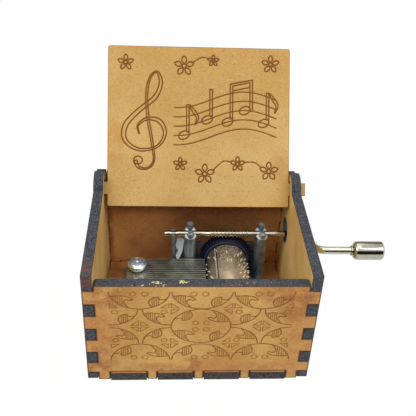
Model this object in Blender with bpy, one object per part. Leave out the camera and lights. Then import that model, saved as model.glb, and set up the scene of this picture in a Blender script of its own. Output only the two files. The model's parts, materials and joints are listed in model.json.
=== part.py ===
# Hand cranked wooden music box: a laser cut fibreboard case with finger joints,
# a lid that swings on two pegs, and an 18 note comb movement turned by a bent wire crank.
# Metres, +Z up. The origin is the middle of the case's underside, X to the right, Y to the back.
# The lid stands open and the crank points forward and up, as the box is shown.

import math

import bmesh
import bpy
from mathutils import Matrix, Vector

MM = 0.001

# Case
CASE_WIDTH = 64.0 * MM
CASE_DEPTH = 53.4 * MM
SIDE_HEIGHT = 39.2 * MM
BOARD = 3.0 * MM                 # thickness of every board
LID_THICKNESS = BOARD
LID_SINK = 0.2 * MM              # the shut lid's top lies this far below the sides' tops
LID_SEAT_GAP = 0.1 * MM          # above the front board when shut
FRONT_HEIGHT = SIDE_HEIGHT - LID_SINK - LID_THICKNESS - LID_SEAT_GAP
JOINT_GAP = 0.15 * MM            # saw kerf left between two boards
FINGER_COUNT = 4
FINGER_MARGIN = 1.8 * MM         # the highest finger ends this far below the front board's top
LOWEST_FINGER_CUT = 0.41 * MM    # the lowest finger is shorter by this much
FINGER_EXTRA = 0.45 * MM         # the end boards' fingers are taller than half a step by this much
FINGER_TOP = FRONT_HEIGHT - FINGER_MARGIN
FINGER = (FINGER_TOP - BOARD + LOWEST_FINGER_CUT) / (2 * FINGER_COUNT - 1)
BASE_TAB = 10.3 * MM             # length of one tab of the base
BASE_TAB_GAP = 3.15 * MM
FRONT_TAB_COUNT = 4
SIDE_TAB_COUNT = 3
TAB_PROUD = 0.4 * MM             # the base stands this far out of the front and back
SIDE_FOOT_RADIUS = 1.0 * MM
SIDE_REAR_RADIUS = 1.0 * MM      # at the sides' rear top corner
END_CORNER_RADIUS = 0.8 * MM     # at the top corners of the front and back boards

HALF_WIDTH = CASE_WIDTH / 2
HALF_DEPTH = CASE_DEPTH / 2
INNER_X = HALF_WIDTH - BOARD
INNER_Y = HALF_DEPTH - BOARD

# Lid and its hinge
LID_SIDE_PLAY = 1.2 * MM         # between the lid and both sides together
LID_REAR_GAP = 0.5 * MM          # behind the shut lid
LID_LENGTH = HALF_DEPTH + INNER_Y - LID_REAR_GAP
LID_WIDTH = 2 * INNER_X - LID_SIDE_PLAY
LID_SHIFT = 0.35 * MM            # the lid lies this far to the right of the middle
LID_CORNER = 0.6 * MM
LID_OPENING = math.radians(124.5)
PEG_WIDTH = 4.0 * MM
PEG_PROUD = 0.6 * MM             # left peg past the side's outer face, with the lid in the middle
LEFT_PEG_LENGTH = LID_SIDE_PLAY / 2 + BOARD + PEG_PROUD
PEG_END_GAP = 0.4 * MM           # from the right peg, which is longer, to the path of the crank's arm
PEG_GAP = 0.15 * MM
HINGE_INSET = 6.2 * MM           # from the back board's inner face
HINGE_Y = INNER_Y - HINGE_INSET
HINGE_Z = SIDE_HEIGHT - LID_SINK - LID_THICKNESS / 2
EAR_RADIUS = 5.3 * MM

# Crank wire
SHAFT_Y = 13.9 * MM
SHAFT_Z = 22.65 * MM
SHAFT_RADIUS = 1.0 * MM
SHAFT_LEFT_END = -10.25 * MM
HANDLE_WIRE_RADIUS = 1.15 * MM
ARM_STANDOFF = 3.5 * MM          # from the right side board to the middle of the arm
ARM_X = HALF_WIDTH + ARM_STANDOFF
RIGHT_PEG_END = ARM_X - HANDLE_WIRE_RADIUS - PEG_END_GAP
ARM_LENGTH = 18.9 * MM
ARM_RISE = math.radians(22.0)    # how far the arm points above straight forward
BEND_RADIUS = 3.0 * MM
WIRE_SIDES = 16
CRANK_HOLE_RADIUS = 4.0 * MM
CRANK_HOLE_Y = SHAFT_Y + 1.3 * MM
CRANK_HOLE_Z = SHAFT_Z + 0.55 * MM
HANDLE_LENGTH = 10.7 * MM        # of bare wire between the arm and the knob
KNOB_START = ARM_X + HANDLE_LENGTH
KNOB_LENGTH = 9.2 * MM
KNOB_RADIUS = 2.75 * MM
KNOB_NECK_RADIUS = 1.75 * MM
KNOB_SHOULDER = 1.3 * MM
KNOB_EDGE = 0.9 * MM
KNOB_BORE_GAP = 0.12 * MM
KNOB_END_WALL = 1.2 * MM
COLLAR_RADIUS = 1.7 * MM         # ring on the wire that the knob runs against
COLLAR_WIDTH = 0.5 * MM
COLLAR_GAP = 0.15 * MM

# Worm on the wire and the wheel that it turns
WHEEL_TEETH = 44
WHEEL_RADIUS = 8.4 * MM
TOOTH_DEPTH = 0.5 * MM
WHEEL_WIDTH = 2.9 * MM
WORM_ROOT_RADIUS = 0.95 * MM
WORM_CREST_RADIUS = 1.4 * MM
WORM_START = 4.3 * MM
WORM_TURNS = 10
GEAR_CLEARANCE = 0.15 * MM       # wheel tip to worm root
PITCH_DEPTH = 0.15 * MM          # the pitch circle lies this far inside the wheel's tips
WHEEL_RIM_RADIUS = 7.25 * MM
WHEEL_RIM_HEIGHT = 0.25 * MM
WHEEL_WELL_GAP = 0.5 * MM        # round the wheel where it dips into the bed

# Pinned cylinder, on a fixed arbor along Y
CYLINDER_X = 10.1 * MM
CYLINDER_RADIUS = 6.5 * MM
CYLINDER_LENGTH = 19.0 * MM
CYLINDER_SIDES = 48
CYLINDER_WALL = 2.4 * MM
HUB_LENGTH = 2.5 * MM            # of the plugs in both ends of the cylinder
HUB_GAP = 0.15 * MM
WASHER_RADIUS = 2.2 * MM         # on the arbor, between the front cap and its wall
WASHER_THICKNESS = 0.4 * MM
PIN_HEIGHT = 0.5 * MM
PIN_WIDTH = 0.4 * MM
PINS_PER_NOTE = 3
ARBOR_RADIUS = 1.0 * MM
ARBOR_GAP = 0.15 * MM
CAP_RADIUS = 5.2 * MM
CAP_THICKNESS = 0.8 * MM
CAP_GAP = 0.25 * MM

# Comb
NOTE_COUNT = 18
NOTE_PITCH = 0.93 * MM
COMB_LENGTH = 25.0 * MM
COMB_TOP = 15.15 * MM
COMB_REAR = 10.4 * MM
COMB_BLOCK = 2.0 * MM            # thickness where it is screwed down
TOOTH_THICKNESS = 0.8 * MM
SLIT = 0.25 * MM
SLIT_ROOT_REAR = 6.3 * MM        # from the comb's left end, at the bass side
SLIT_ROOT_SLOPE = 0.3            # the slits' ends run forward at this slant
TIP_GAP = 0.2 * MM               # tooth tips to the path of the pins
BASS_NOTE_COUNT = 9
COMB_SCREW_X = 3.3 * MM          # from the comb's left end
COMB_SCREW_REAR = 4.6 * MM       # from the comb's rear edge
COMB_SCREW_SPACING = 9.1 * MM
COMB_SCREW_HEAD = 3.0 * MM       # radius
COMB_SCREW_HEAD_HEIGHT = 1.9 * MM
SCREW_SHANK = 1.3 * MM
SCREW_GAP = 0.2 * MM

# Cast frame of the movement
SEAT_GAP = 0.2 * MM
BED_THICKNESS = 2.4 * MM
BED_LEFT = -23.5 * MM
BED_RIGHT = 23.5 * MM
BED_FRONT = -10.8 * MM
BED_REAR = 17.9 * MM
BED_CORNER = 1.5 * MM
POST_WIDTH = 3.7 * MM
POST_LEFT_X = -1.9 * MM
POST_RIGHT_X = 21.2 * MM
POST_HALF_DEPTH = 3.3 * MM
POST_ABOVE_SHAFT = 0.75 * MM
PEEN_RADIUS = 1.1 * MM
FRONT_PEEN_HEIGHT = 1.2 * MM
REAR_PEEN_HEIGHT = 2.1 * MM        # the rear prong stands taller
PEEN_OFFSET = 2.2 * MM           # the peened heads lie this far in front of and behind the wire
SHAFT_SLOT_GAP = 0.15 * MM
THIN_POST_X = -7.3 * MM
THIN_POST_WIDTH = 1.2 * MM
THIN_POST_HALF_DEPTH = 2.0 * MM
NECK_RADIUS = 0.7 * MM           # groove of the wire in the thin post
WEB_THICKNESS = 1.4 * MM
WEB_TOP = 19.2 * MM
REAR_WALL = 1.9 * MM
REAR_WALL_TOP = 16.9 * MM
FRONT_WALL = 1.6 * MM
FRONT_WALL_TOP = 16.4 * MM
FRONT_WALL_HALF_WIDTH = 4.5 * MM
BLOCK_RIGHT = 7.4 * MM           # the comb's block ends this far from the comb's left end

# Screws through the base, from below
BASE_SCREW_HEAD = 2.7 * MM
BASE_SCREW_CONE = 1.5 * MM
BASE_SCREW_INSET = 3.3 * MM      # from the bed's edges
HEAD_SINK = 0.15 * MM

CIRCLE_SIDES = 24

BED_BOTTOM = BOARD + SEAT_GAP
BED_TOP = BED_BOTTOM + BED_THICKNESS
CYLINDER_Z = SHAFT_Z - WORM_ROOT_RADIUS - GEAR_CLEARANCE - WHEEL_RADIUS
WHEEL_FRONT = SHAFT_Y - WHEEL_WIDTH / 2
CYLINDER_REAR = WHEEL_FRONT - WHEEL_RIM_HEIGHT - SEAT_GAP
CYLINDER_FRONT = CYLINDER_REAR - CYLINDER_LENGTH
CAP_FRONT = CYLINDER_FRONT - CAP_GAP - CAP_THICKNESS
WASHER_FRONT = CAP_FRONT - SEAT_GAP - WASHER_THICKNESS
HUB_RADIUS = CYLINDER_RADIUS - CYLINDER_WALL - HUB_GAP
PITCH_RADIUS = WHEEL_RADIUS - PITCH_DEPTH
WORM_PITCH = 2 * math.pi * PITCH_RADIUS / WHEEL_TEETH
COMB_RIGHT = CYLINDER_X - CYLINDER_RADIUS - PIN_HEIGHT - TIP_GAP
COMB_LEFT = COMB_RIGHT - COMB_LENGTH
COMB_FRONT = COMB_REAR - NOTE_COUNT * NOTE_PITCH
ARM = Vector((0, -math.cos(ARM_RISE), math.sin(ARM_RISE)))


def material(name, colour, roughness, metallic=0.0):
    """A Principled material with one colour."""
    made = bpy.data.materials.new(name)
    made.use_nodes = True
    shader = made.node_tree.nodes["Principled BSDF"]
    shader.inputs["Base Color"].default_value = (*colour, 1.0)
    shader.inputs["Roughness"].default_value = roughness
    shader.inputs["Metallic"].default_value = metallic
    made.diffuse_color = (*colour, 1.0)
    return made


def solid(name, bm, origin=(0, 0, 0)):
    """Turn a bmesh in world places into a linked object with the given origin."""
    bmesh.ops.translate(bm, verts=bm.verts, vec=-Vector(origin))
    bmesh.ops.recalc_face_normals(bm, faces=bm.faces)
    mesh = bpy.data.meshes.new(name)
    bm.to_mesh(mesh)
    bm.free()
    made = bpy.data.objects.new(name, mesh)
    made.location = origin
    bpy.context.scene.collection.objects.link(made)
    return made


def place(axis, a, b, along):
    """A point from its two outline coordinates and its place along the axis."""
    if axis == "X":
        return Vector((along, a, b))
    if axis == "Y":
        return Vector((a, along, b))
    return Vector((a, b, along))


def prism(name, outline, axis, low, high, origin=(0, 0, 0)):
    """A flat outline made solid between two planes across the axis."""
    bm = bmesh.new()
    face = bm.faces.new([bm.verts.new(place(axis, a, b, low)) for a, b in outline])
    grown = bmesh.ops.extrude_face_region(bm, geom=[face])
    top = [item for item in grown["geom"] if isinstance(item, bmesh.types.BMVert)]
    bmesh.ops.translate(bm, verts=top, vec=place(axis, 0, 0, high - low))
    return solid(name, bm, origin)


def block(name, low, high, origin=(0, 0, 0)):
    """A plain box between two corners."""
    outline = [(low[0], low[1]), (high[0], low[1]), (high[0], high[1]), (low[0], high[1])]
    return prism(name, outline, "Z", low[2], high[2], origin)


def circle(a, b, radius, sides=CIRCLE_SIDES):
    """A round outline."""
    steps = [2 * math.pi * k / sides for k in range(sides)]
    return [(a + radius * math.cos(t), b + radius * math.sin(t)) for t in steps]


def arc(a, b, radius, start, end, steps=8):
    """Points of an arc from one angle in degrees to another."""
    turns = [math.radians(start + (end - start) * k / steps) for k in range(steps + 1)]
    return [(a + radius * math.cos(t), b + radius * math.sin(t)) for t in turns]


def rounded_rectangle(left, right, low, high, radius, steps=4):
    """A rectangle with its four corners rounded."""
    points = arc(right - radius, high - radius, radius, 0, 90, steps)
    points += arc(left + radius, high - radius, radius, 90, 180, steps)
    points += arc(left + radius, low + radius, radius, 180, 270, steps)
    points += arc(right - radius, low + radius, radius, 270, 360, steps)
    return points


def turned(name, profile, axis_point, axis, sides=CIRCLE_SIDES, origin=(0, 0, 0)):
    """A solid of revolution. The profile lists (place along the axis, radius), radius 0 at a pole."""
    bm = bmesh.new()
    rings = []
    for along, radius in profile:
        if radius == 0:
            rings.append([bm.verts.new(place(axis, 0, 0, along))])
        else:
            rings.append([bm.verts.new(place(axis, a, b, along)) for a, b in circle(0, 0, radius, sides)])
    for first, second in zip(rings, rings[1:]):
        for k in range(sides):
            corners = [first[k % len(first)], first[(k + 1) % len(first)]]
            corners += [second[(k + 1) % len(second)], second[k % len(second)]]
            bm.faces.new(list(dict.fromkeys(corners)))
    if len(rings[0]) > 1 and profile[0] == profile[-1]:
        bmesh.ops.remove_doubles(bm, verts=bm.verts, dist=1e-6)
    elif len(rings[0]) > 1:
        bm.faces.new(rings[0])
        bm.faces.new(rings[-1])
    bmesh.ops.translate(bm, verts=bm.verts, vec=axis_point)
    return solid(name, bm, origin)


def combine(base, others, operation):
    """Cut the other solids from the base, or fuse them with it, and drop them."""
    for other in others:
        step = base.modifiers.new(operation.title(), "BOOLEAN")
        step.operation = operation
        step.solver = "EXACT"
        step.object = other
    graph = bpy.context.evaluated_depsgraph_get()
    mesh = bpy.data.meshes.new_from_object(base.evaluated_get(graph))
    base.modifiers.clear()
    base.data = mesh
    for other in others:
        bpy.data.objects.remove(other)
    return base


def finish(made, look):
    """Give a piece its name, its one material and smooth shading up to sharp edges."""
    made.data.name = made.name
    made.data.materials.clear()
    made.data.materials.append(look)
    made.data.polygons.foreach_set("material_index", [0] * len(made.data.polygons))
    made.data.shade_smooth()
    made.data.set_sharp_from_angle(angle=math.radians(32))
    return made


def finger_ranges():
    """The heights of the fingers that the front and back boards push through the sides."""
    ranges = []
    for k in range(FINGER_COUNT):
        top = FINGER_TOP - 2 * FINGER * k
        ranges.append((max(top - FINGER - FINGER_EXTRA, BOARD), top))
    return sorted(ranges)


def tab_ranges(count):
    """The places of the base's tabs along one edge, spread about its middle."""
    length = count * BASE_TAB + (count - 1) * BASE_TAB_GAP
    first = -length / 2
    return [(first + k * (BASE_TAB + BASE_TAB_GAP), first + k * (BASE_TAB + BASE_TAB_GAP) + BASE_TAB)
            for k in range(count)]


def end_board(name, height, outer, inner):
    """A front or back board: fingers at both ends and notches for the base's tabs below."""
    edge = INNER_X - JOINT_GAP
    right = []
    for low, high in finger_ranges():
        right += [(edge, low), (HALF_WIDTH, low), (HALF_WIDTH, high), (edge, high)]
    bottom = [(-edge, 0)]
    for low, high in tab_ranges(FRONT_TAB_COUNT):
        top = BOARD + JOINT_GAP
        bottom += [(low - JOINT_GAP, 0), (low - JOINT_GAP, top)]
        bottom += [(high + JOINT_GAP, top), (high + JOINT_GAP, 0)]
    bottom.append((edge, 0))
    left = [(-x, z) for x, z in reversed(right)]
    corner = END_CORNER_RADIUS
    upper = arc(edge - corner, height - corner, corner, 0, 90, 3)
    upper += arc(corner - edge, height - corner, corner, 90, 180, 3)
    outline = bottom + right + upper + left
    return prism(name, outline, "Y", outer, inner)


def side_board(name, x_low, x_high):
    """A side board: notches for the fingers and the base's tabs, and the ear that holds the lid."""
    depth = BOARD + JOINT_GAP
    rear = [(HALF_DEPTH - SIDE_FOOT_RADIUS, 0)]
    rear += arc(HALF_DEPTH - SIDE_FOOT_RADIUS, SIDE_FOOT_RADIUS, SIDE_FOOT_RADIUS, -90, 0, 3)[1:]
    for low, high in finger_ranges():
        rear += [(HALF_DEPTH, low - JOINT_GAP), (HALF_DEPTH - depth, low - JOINT_GAP)]
        rear += [(HALF_DEPTH - depth, high + JOINT_GAP), (HALF_DEPTH, high + JOINT_GAP)]
    front = [(-HALF_DEPTH, SIDE_HEIGHT)] + [(-y, z) for y, z in reversed(rear)]
    rear += arc(HALF_DEPTH - SIDE_REAR_RADIUS, SIDE_HEIGHT - SIDE_REAR_RADIUS, SIDE_REAR_RADIUS, 0, 90, 3)
    spread = math.degrees(math.asin((SIDE_HEIGHT - HINGE_Z) / EAR_RADIUS))
    ear = arc(HINGE_Y, HINGE_Z, EAR_RADIUS, spread, 180 - spread, 24)
    bottom = []
    for low, high in tab_ranges(SIDE_TAB_COUNT):
        bottom += [(low - JOINT_GAP, 0), (low - JOINT_GAP, depth)]
        bottom += [(high + JOINT_GAP, depth), (high + JOINT_GAP, 0)]
    board = prism(name, bottom + rear + ear + front, "X", x_low, x_high)
    peg_radius = math.hypot(PEG_WIDTH, LID_THICKNESS) / 2 + PEG_GAP
    hole = prism("peg_hole", circle(HINGE_Y, HINGE_Z, peg_radius), "X", x_low - BOARD, x_high + BOARD)
    return combine(board, [hole], "DIFFERENCE")


def base_screw_places():
    """Three corners of the movement's bed."""
    left = BED_LEFT + BASE_SCREW_INSET
    right = BED_RIGHT - BASE_SCREW_INSET
    front = BED_FRONT + BASE_SCREW_INSET
    rear = BED_REAR - BASE_SCREW_INSET
    return [(left, rear), (left, front), (right, front)]


def comb_screw_places():
    """The two screws of the comb, rear one first."""
    x = COMB_LEFT + COMB_SCREW_X
    rear = COMB_REAR - COMB_SCREW_REAR
    return [(x, rear), (x, rear - COMB_SCREW_SPACING)]


def make_case(board_look):
    """The five glued boards of the case."""
    finish(end_board("front_panel", FRONT_HEIGHT, -HALF_DEPTH, -INNER_Y), board_look("front_panel"))
    finish(end_board("back_panel", SIDE_HEIGHT, INNER_Y, HALF_DEPTH), board_look("back_panel"))
    finish(side_board("left_side_panel", -HALF_WIDTH, -INNER_X), board_look("left_side_panel"))
    right = side_board("right_side_panel", INNER_X, HALF_WIDTH)
    outline = circle(CRANK_HOLE_Y, CRANK_HOLE_Z, CRANK_HOLE_RADIUS, 32)
    hole = prism("crank_hole", outline, "X", INNER_X - BOARD, HALF_WIDTH + BOARD)
    finish(combine(right, [hole], "DIFFERENCE"), board_look("right_side_panel"))

    edge_x = INNER_X - JOINT_GAP
    edge_y = INNER_Y - JOINT_GAP
    front = []
    for low, high in tab_ranges(FRONT_TAB_COUNT):
        reach = -HALF_DEPTH - TAB_PROUD
        front += [(low, -edge_y), (low, reach), (high, reach), (high, -edge_y)]
    right_side = []
    for low, high in tab_ranges(SIDE_TAB_COUNT):
        right_side += [(edge_x, low), (HALF_WIDTH, low), (HALF_WIDTH, high), (edge_x, high)]
    half = [(-edge_x, -edge_y)] + front + [(edge_x, -edge_y)] + right_side
    outline = half + [(-x, -y) for x, y in half]
    base = prism("base_panel", outline, "Z", 0, BOARD)
    cutters = []
    for x, y in base_screw_places():
        rim = BASE_SCREW_HEAD + SCREW_GAP + BASE_SCREW_CONE
        shank = SCREW_SHANK + SCREW_GAP
        profile = [(-BASE_SCREW_CONE, rim), (BASE_SCREW_CONE + HEAD_SINK, shank), (2 * BOARD, shank)]
        cutters.append(turned("screw_hole", profile, Vector((x, y, 0)), "Z"))
    finish(combine(base, cutters, "DIFFERENCE"), board_look("base_panel"))


def make_lid(look):
    """The lid with its two pegs, made shut and then swung open about the pegs."""
    front = -HALF_DEPTH
    rear = front + LID_LENGTH
    left = LID_SHIFT - LID_WIDTH / 2
    right = LID_SHIFT + LID_WIDTH / 2
    low = HINGE_Z - LID_THICKNESS / 2
    high = HINGE_Z + LID_THICKNESS / 2
    half_peg = PEG_WIDTH / 2
    outline = arc(left + LID_CORNER, front + LID_CORNER, LID_CORNER, 180, 270, 3)
    outline += arc(right - LID_CORNER, front + LID_CORNER, LID_CORNER, 270, 360, 3)
    outline += [(right, HINGE_Y - half_peg), (RIGHT_PEG_END, HINGE_Y - half_peg)]
    outline += [(RIGHT_PEG_END, HINGE_Y + half_peg), (right, HINGE_Y + half_peg)]
    outline += arc(right - LID_CORNER, rear - LID_CORNER, LID_CORNER, 0, 90, 3)
    outline += arc(left + LID_CORNER, rear - LID_CORNER, LID_CORNER, 90, 180, 3)
    outline += [(left, HINGE_Y + half_peg), (left - LEFT_PEG_LENGTH, HINGE_Y + half_peg)]
    outline += [(left - LEFT_PEG_LENGTH, HINGE_Y - half_peg), (left, HINGE_Y - half_peg)]
    lid = prism("lid_panel", outline, "Z", low, high, origin=(0, HINGE_Y, HINGE_Z))
    lid.rotation_euler = (-LID_OPENING, 0, 0)
    finish(lid, look)


def fork_post(name, x):
    """A cast post whose two prongs straddle the wire, with their ends peened over it."""
    half = POST_WIDTH / 2
    top = SHAFT_Z + POST_ABOVE_SHAFT
    outline = rounded_rectangle(x - half, x + half, SHAFT_Y - POST_HALF_DEPTH,
                                SHAFT_Y + POST_HALF_DEPTH, half - SHAFT_SLOT_GAP, 5)
    post = prism(name, outline, "Z", BED_TOP - SEAT_GAP, top)
    reach = SHAFT_RADIUS + SHAFT_SLOT_GAP
    slot = block("slot", (x - POST_WIDTH, SHAFT_Y - reach, SHAFT_Z - reach),
                 (x + POST_WIDTH, SHAFT_Y + reach, top + POST_WIDTH))
    combine(post, [slot], "DIFFERENCE")
    heads = []
    for side, height in ((-1, FRONT_PEEN_HEIGHT), (1, REAR_PEEN_HEIGHT)):
        y = SHAFT_Y + side * PEEN_OFFSET
        shoulder = top + height - PEEN_RADIUS / 3
        profile = [(top - SEAT_GAP, PEEN_RADIUS), (shoulder, PEEN_RADIUS),
                   (top + height - PEEN_RADIUS / 8, 0.7 * PEEN_RADIUS), (top + height, 0)]
        heads.append(turned("peened_head", [(top - SEAT_GAP, 0)] + profile, Vector((x, y, 0)), "Z", 16))
    return combine(post, heads, "UNION")


def make_frame(look):
    """The cast bed with its comb block, bearing walls and posts."""
    outline = rounded_rectangle(BED_LEFT, BED_RIGHT, BED_FRONT, BED_REAR, BED_CORNER)
    frame = prism("movement_frame", outline, "Z", BED_BOTTOM, BED_TOP)
    sunk = BED_TOP - SEAT_GAP
    block_top = COMB_TOP - COMB_BLOCK - SEAT_GAP
    comb_block = block("comb_block", (COMB_LEFT, COMB_FRONT, sunk),
                       (COMB_LEFT + BLOCK_RIGHT, COMB_REAR, block_top))
    rear_wall = block("rear_wall", (POST_LEFT_X, BED_REAR - REAR_WALL, sunk),
                      (POST_RIGHT_X, BED_REAR - SEAT_GAP, REAR_WALL_TOP))
    wall_rear = WASHER_FRONT - SEAT_GAP
    arch = FRONT_WALL_TOP - FRONT_WALL_HALF_WIDTH
    front_outline = arc(CYLINDER_X, arch, FRONT_WALL_HALF_WIDTH, 0, 180, 10)
    front_outline += [(CYLINDER_X - FRONT_WALL_HALF_WIDTH, sunk), (CYLINDER_X + FRONT_WALL_HALF_WIDTH, sunk)]
    front_wall = prism("front_wall", front_outline, "Y", wall_rear - FRONT_WALL, wall_rear)
    half = THIN_POST_WIDTH / 2
    thin_post = block("thin_post", (THIN_POST_X - half, SHAFT_Y - THIN_POST_HALF_DEPTH, sunk),
                      (THIN_POST_X + half, SHAFT_Y + THIN_POST_HALF_DEPTH, SHAFT_Z + NECK_RADIUS))
    web_rear = SHAFT_Y + THIN_POST_HALF_DEPTH - SEAT_GAP
    web = block("web", (THIN_POST_X, web_rear - WEB_THICKNESS, sunk), (POST_LEFT_X, web_rear, WEB_TOP))
    parts = [comb_block, rear_wall, front_wall, thin_post, web]
    parts += [fork_post("left_post", POST_LEFT_X), fork_post("right_post", POST_RIGHT_X)]
    combine(frame, parts, "UNION")

    reach = NECK_RADIUS + SHAFT_SLOT_GAP
    notch = block("notch", (THIN_POST_X - POST_WIDTH, SHAFT_Y - reach, SHAFT_Z - reach),
                  (THIN_POST_X + THIN_POST_WIDTH, SHAFT_Y + reach, SHAFT_Z + POST_WIDTH))
    bore = prism("arbor_hole", circle(CYLINDER_X, CYLINDER_Z, ARBOR_RADIUS + ARBOR_GAP), "Y",
                 BED_FRONT, BED_REAR + REAR_WALL)
    well = prism("wheel_well", circle(CYLINDER_X, CYLINDER_Z, WHEEL_RADIUS + WHEEL_WELL_GAP, 48), "Y",
                 WHEEL_FRONT - WHEEL_RIM_HEIGHT - WHEEL_WELL_GAP, WHEEL_FRONT + WHEEL_WIDTH + WHEEL_WELL_GAP)
    cutters = [notch, bore, well]
    for x, y in comb_screw_places():
        outline = circle(x, y, SCREW_SHANK + SCREW_GAP)
        cutters.append(prism("comb_thread", outline, "Z", BED_TOP, COMB_TOP))
    for x, y in base_screw_places():
        outline = circle(x, y, SCREW_SHANK + SCREW_GAP)
        cutters.append(prism("bed_thread", outline, "Z", 0, BED_TOP + BED_THICKNESS))
    finish(combine(frame, cutters, "DIFFERENCE"), look)
    return wall_rear - FRONT_WALL


def slit_root(y):
    """Where a slit at this Y ends: the bass teeth at the rear are the longest."""
    return COMB_LEFT + SLIT_ROOT_REAR + SLIT_ROOT_SLOPE * (COMB_REAR - y)


def note_middle(note):
    """The Y of a tooth's middle line, the bass tooth at the rear first."""
    return COMB_REAR - (note + 0.5) * NOTE_PITCH


def make_comb(steel):
    """The tuned comb, with the weights that are soldered under its bass teeth."""
    outline = [(COMB_LEFT, COMB_FRONT), (COMB_RIGHT, COMB_FRONT)]
    for note in reversed(range(1, NOTE_COUNT)):
        y = COMB_REAR - note * NOTE_PITCH
        root = slit_root(y)
        outline += [(COMB_RIGHT, y - SLIT / 2), (root, y - SLIT / 2)]
        outline += [(root, y + SLIT / 2), (COMB_RIGHT, y + SLIT / 2)]
    outline += [(COMB_RIGHT, COMB_REAR), (COMB_LEFT, COMB_REAR)]
    comb = prism("tuned_comb", outline, "Z", COMB_TOP - TOOTH_THICKNESS, COMB_TOP)
    thick = [(COMB_LEFT, COMB_FRONT), (slit_root(COMB_FRONT) - SLIT, COMB_FRONT),
             (slit_root(COMB_REAR) - SLIT, COMB_REAR), (COMB_LEFT, COMB_REAR)]
    heel = prism("heel", thick, "Z", COMB_TOP - COMB_BLOCK, COMB_TOP - TOOTH_THICKNESS / 2)
    combine(comb, [heel], "UNION")
    under = COMB_TOP - TOOTH_THICKNESS
    half = (NOTE_PITCH - SLIT) / 2 - SLIT / 4
    weights = bmesh.new()
    for note in range(BASS_NOTE_COUNT):
        y = note_middle(note)
        depth = TOOTH_THICKNESS * (2.6 - 0.2 * note)
        right = COMB_RIGHT - 3 * TOOTH_THICKNESS
        left = right - TOOTH_THICKNESS * (6 - 0.4 * note)
        add_box(weights, (left, y - half, under - depth), (right, y + half, under + SLIT))
    cutters = [prism("comb_hole", circle(x, y, SCREW_SHANK + SCREW_GAP), "Z", BED_TOP, COMB_TOP + BOARD)
               for x, y in comb_screw_places()]
    combine(comb, [solid("weights", weights)], "UNION")
    finish(combine(comb, cutters, "DIFFERENCE"), steel)


def add_box(bm, low, high):
    """A box added to a mesh that already holds others."""
    middle = (Vector(low) + Vector(high)) / 2
    size = Vector(high) - Vector(low)
    bmesh.ops.create_cube(bm, size=1.0, matrix=Matrix.Translation(middle) @ Matrix.Diagonal((*size, 1)))


def make_comb_screws(look):
    """Two pan head screws with a cross recess."""
    seat = COMB_TOP + SEAT_GAP
    bottom = BED_TOP + SCREW_GAP
    for name, (x, y) in zip(("comb_screw_rear", "comb_screw_front"), comb_screw_places()):
        profile = [(bottom, 0), (bottom, SCREW_SHANK), (seat, SCREW_SHANK), (seat, COMB_SCREW_HEAD)]
        for k in range(5):
            turn = math.radians(90 * k / 5)
            height = 0.4 + 0.6 * math.sin(turn)
            radius = 0.6 + 0.4 * math.cos(turn)
            profile.append((seat + height * COMB_SCREW_HEAD_HEIGHT, radius * COMB_SCREW_HEAD))
        profile.append((seat + COMB_SCREW_HEAD_HEIGHT, 0))
        screw = turned(name, profile, Vector((x, y, 0)), "Z")
        long = 0.55 * COMB_SCREW_HEAD
        wide = 0.14 * COMB_SCREW_HEAD
        floor = seat + 0.45 * COMB_SCREW_HEAD_HEIGHT
        top = seat + 2 * COMB_SCREW_HEAD_HEIGHT
        cross = [block("slot_x", (x - long, y - wide, floor), (x + long, y + wide, top)),
                 block("slot_y", (x - wide, y - long, floor), (x + wide, y + long, top))]
        finish(combine(screw, cross, "DIFFERENCE"), look)


def make_base_screws(look):
    """Three countersunk screws that hold the movement down through the base."""
    for number, (x, y) in enumerate(base_screw_places(), 1):
        profile = [(HEAD_SINK, 0), (HEAD_SINK, BASE_SCREW_HEAD), (HEAD_SINK + BASE_SCREW_CONE, SCREW_SHANK),
                   (BED_TOP - SCREW_GAP, SCREW_SHANK), (BED_TOP - SCREW_GAP, 0)]
        screw = turned(f"base_screw_{number}", profile, Vector((x, y, 0)), "Z")
        long = 0.6 * BASE_SCREW_HEAD
        wide = 0.14 * BASE_SCREW_HEAD
        roof = HEAD_SINK + 0.5 * BASE_SCREW_CONE
        cross = [block("slot_x", (x - long, y - wide, -BOARD), (x + long, y + wide, roof)),
                 block("slot_y", (x - wide, y - long, -BOARD), (x + wide, y + long, roof))]
        finish(combine(screw, cross, "DIFFERENCE"), look)


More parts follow.
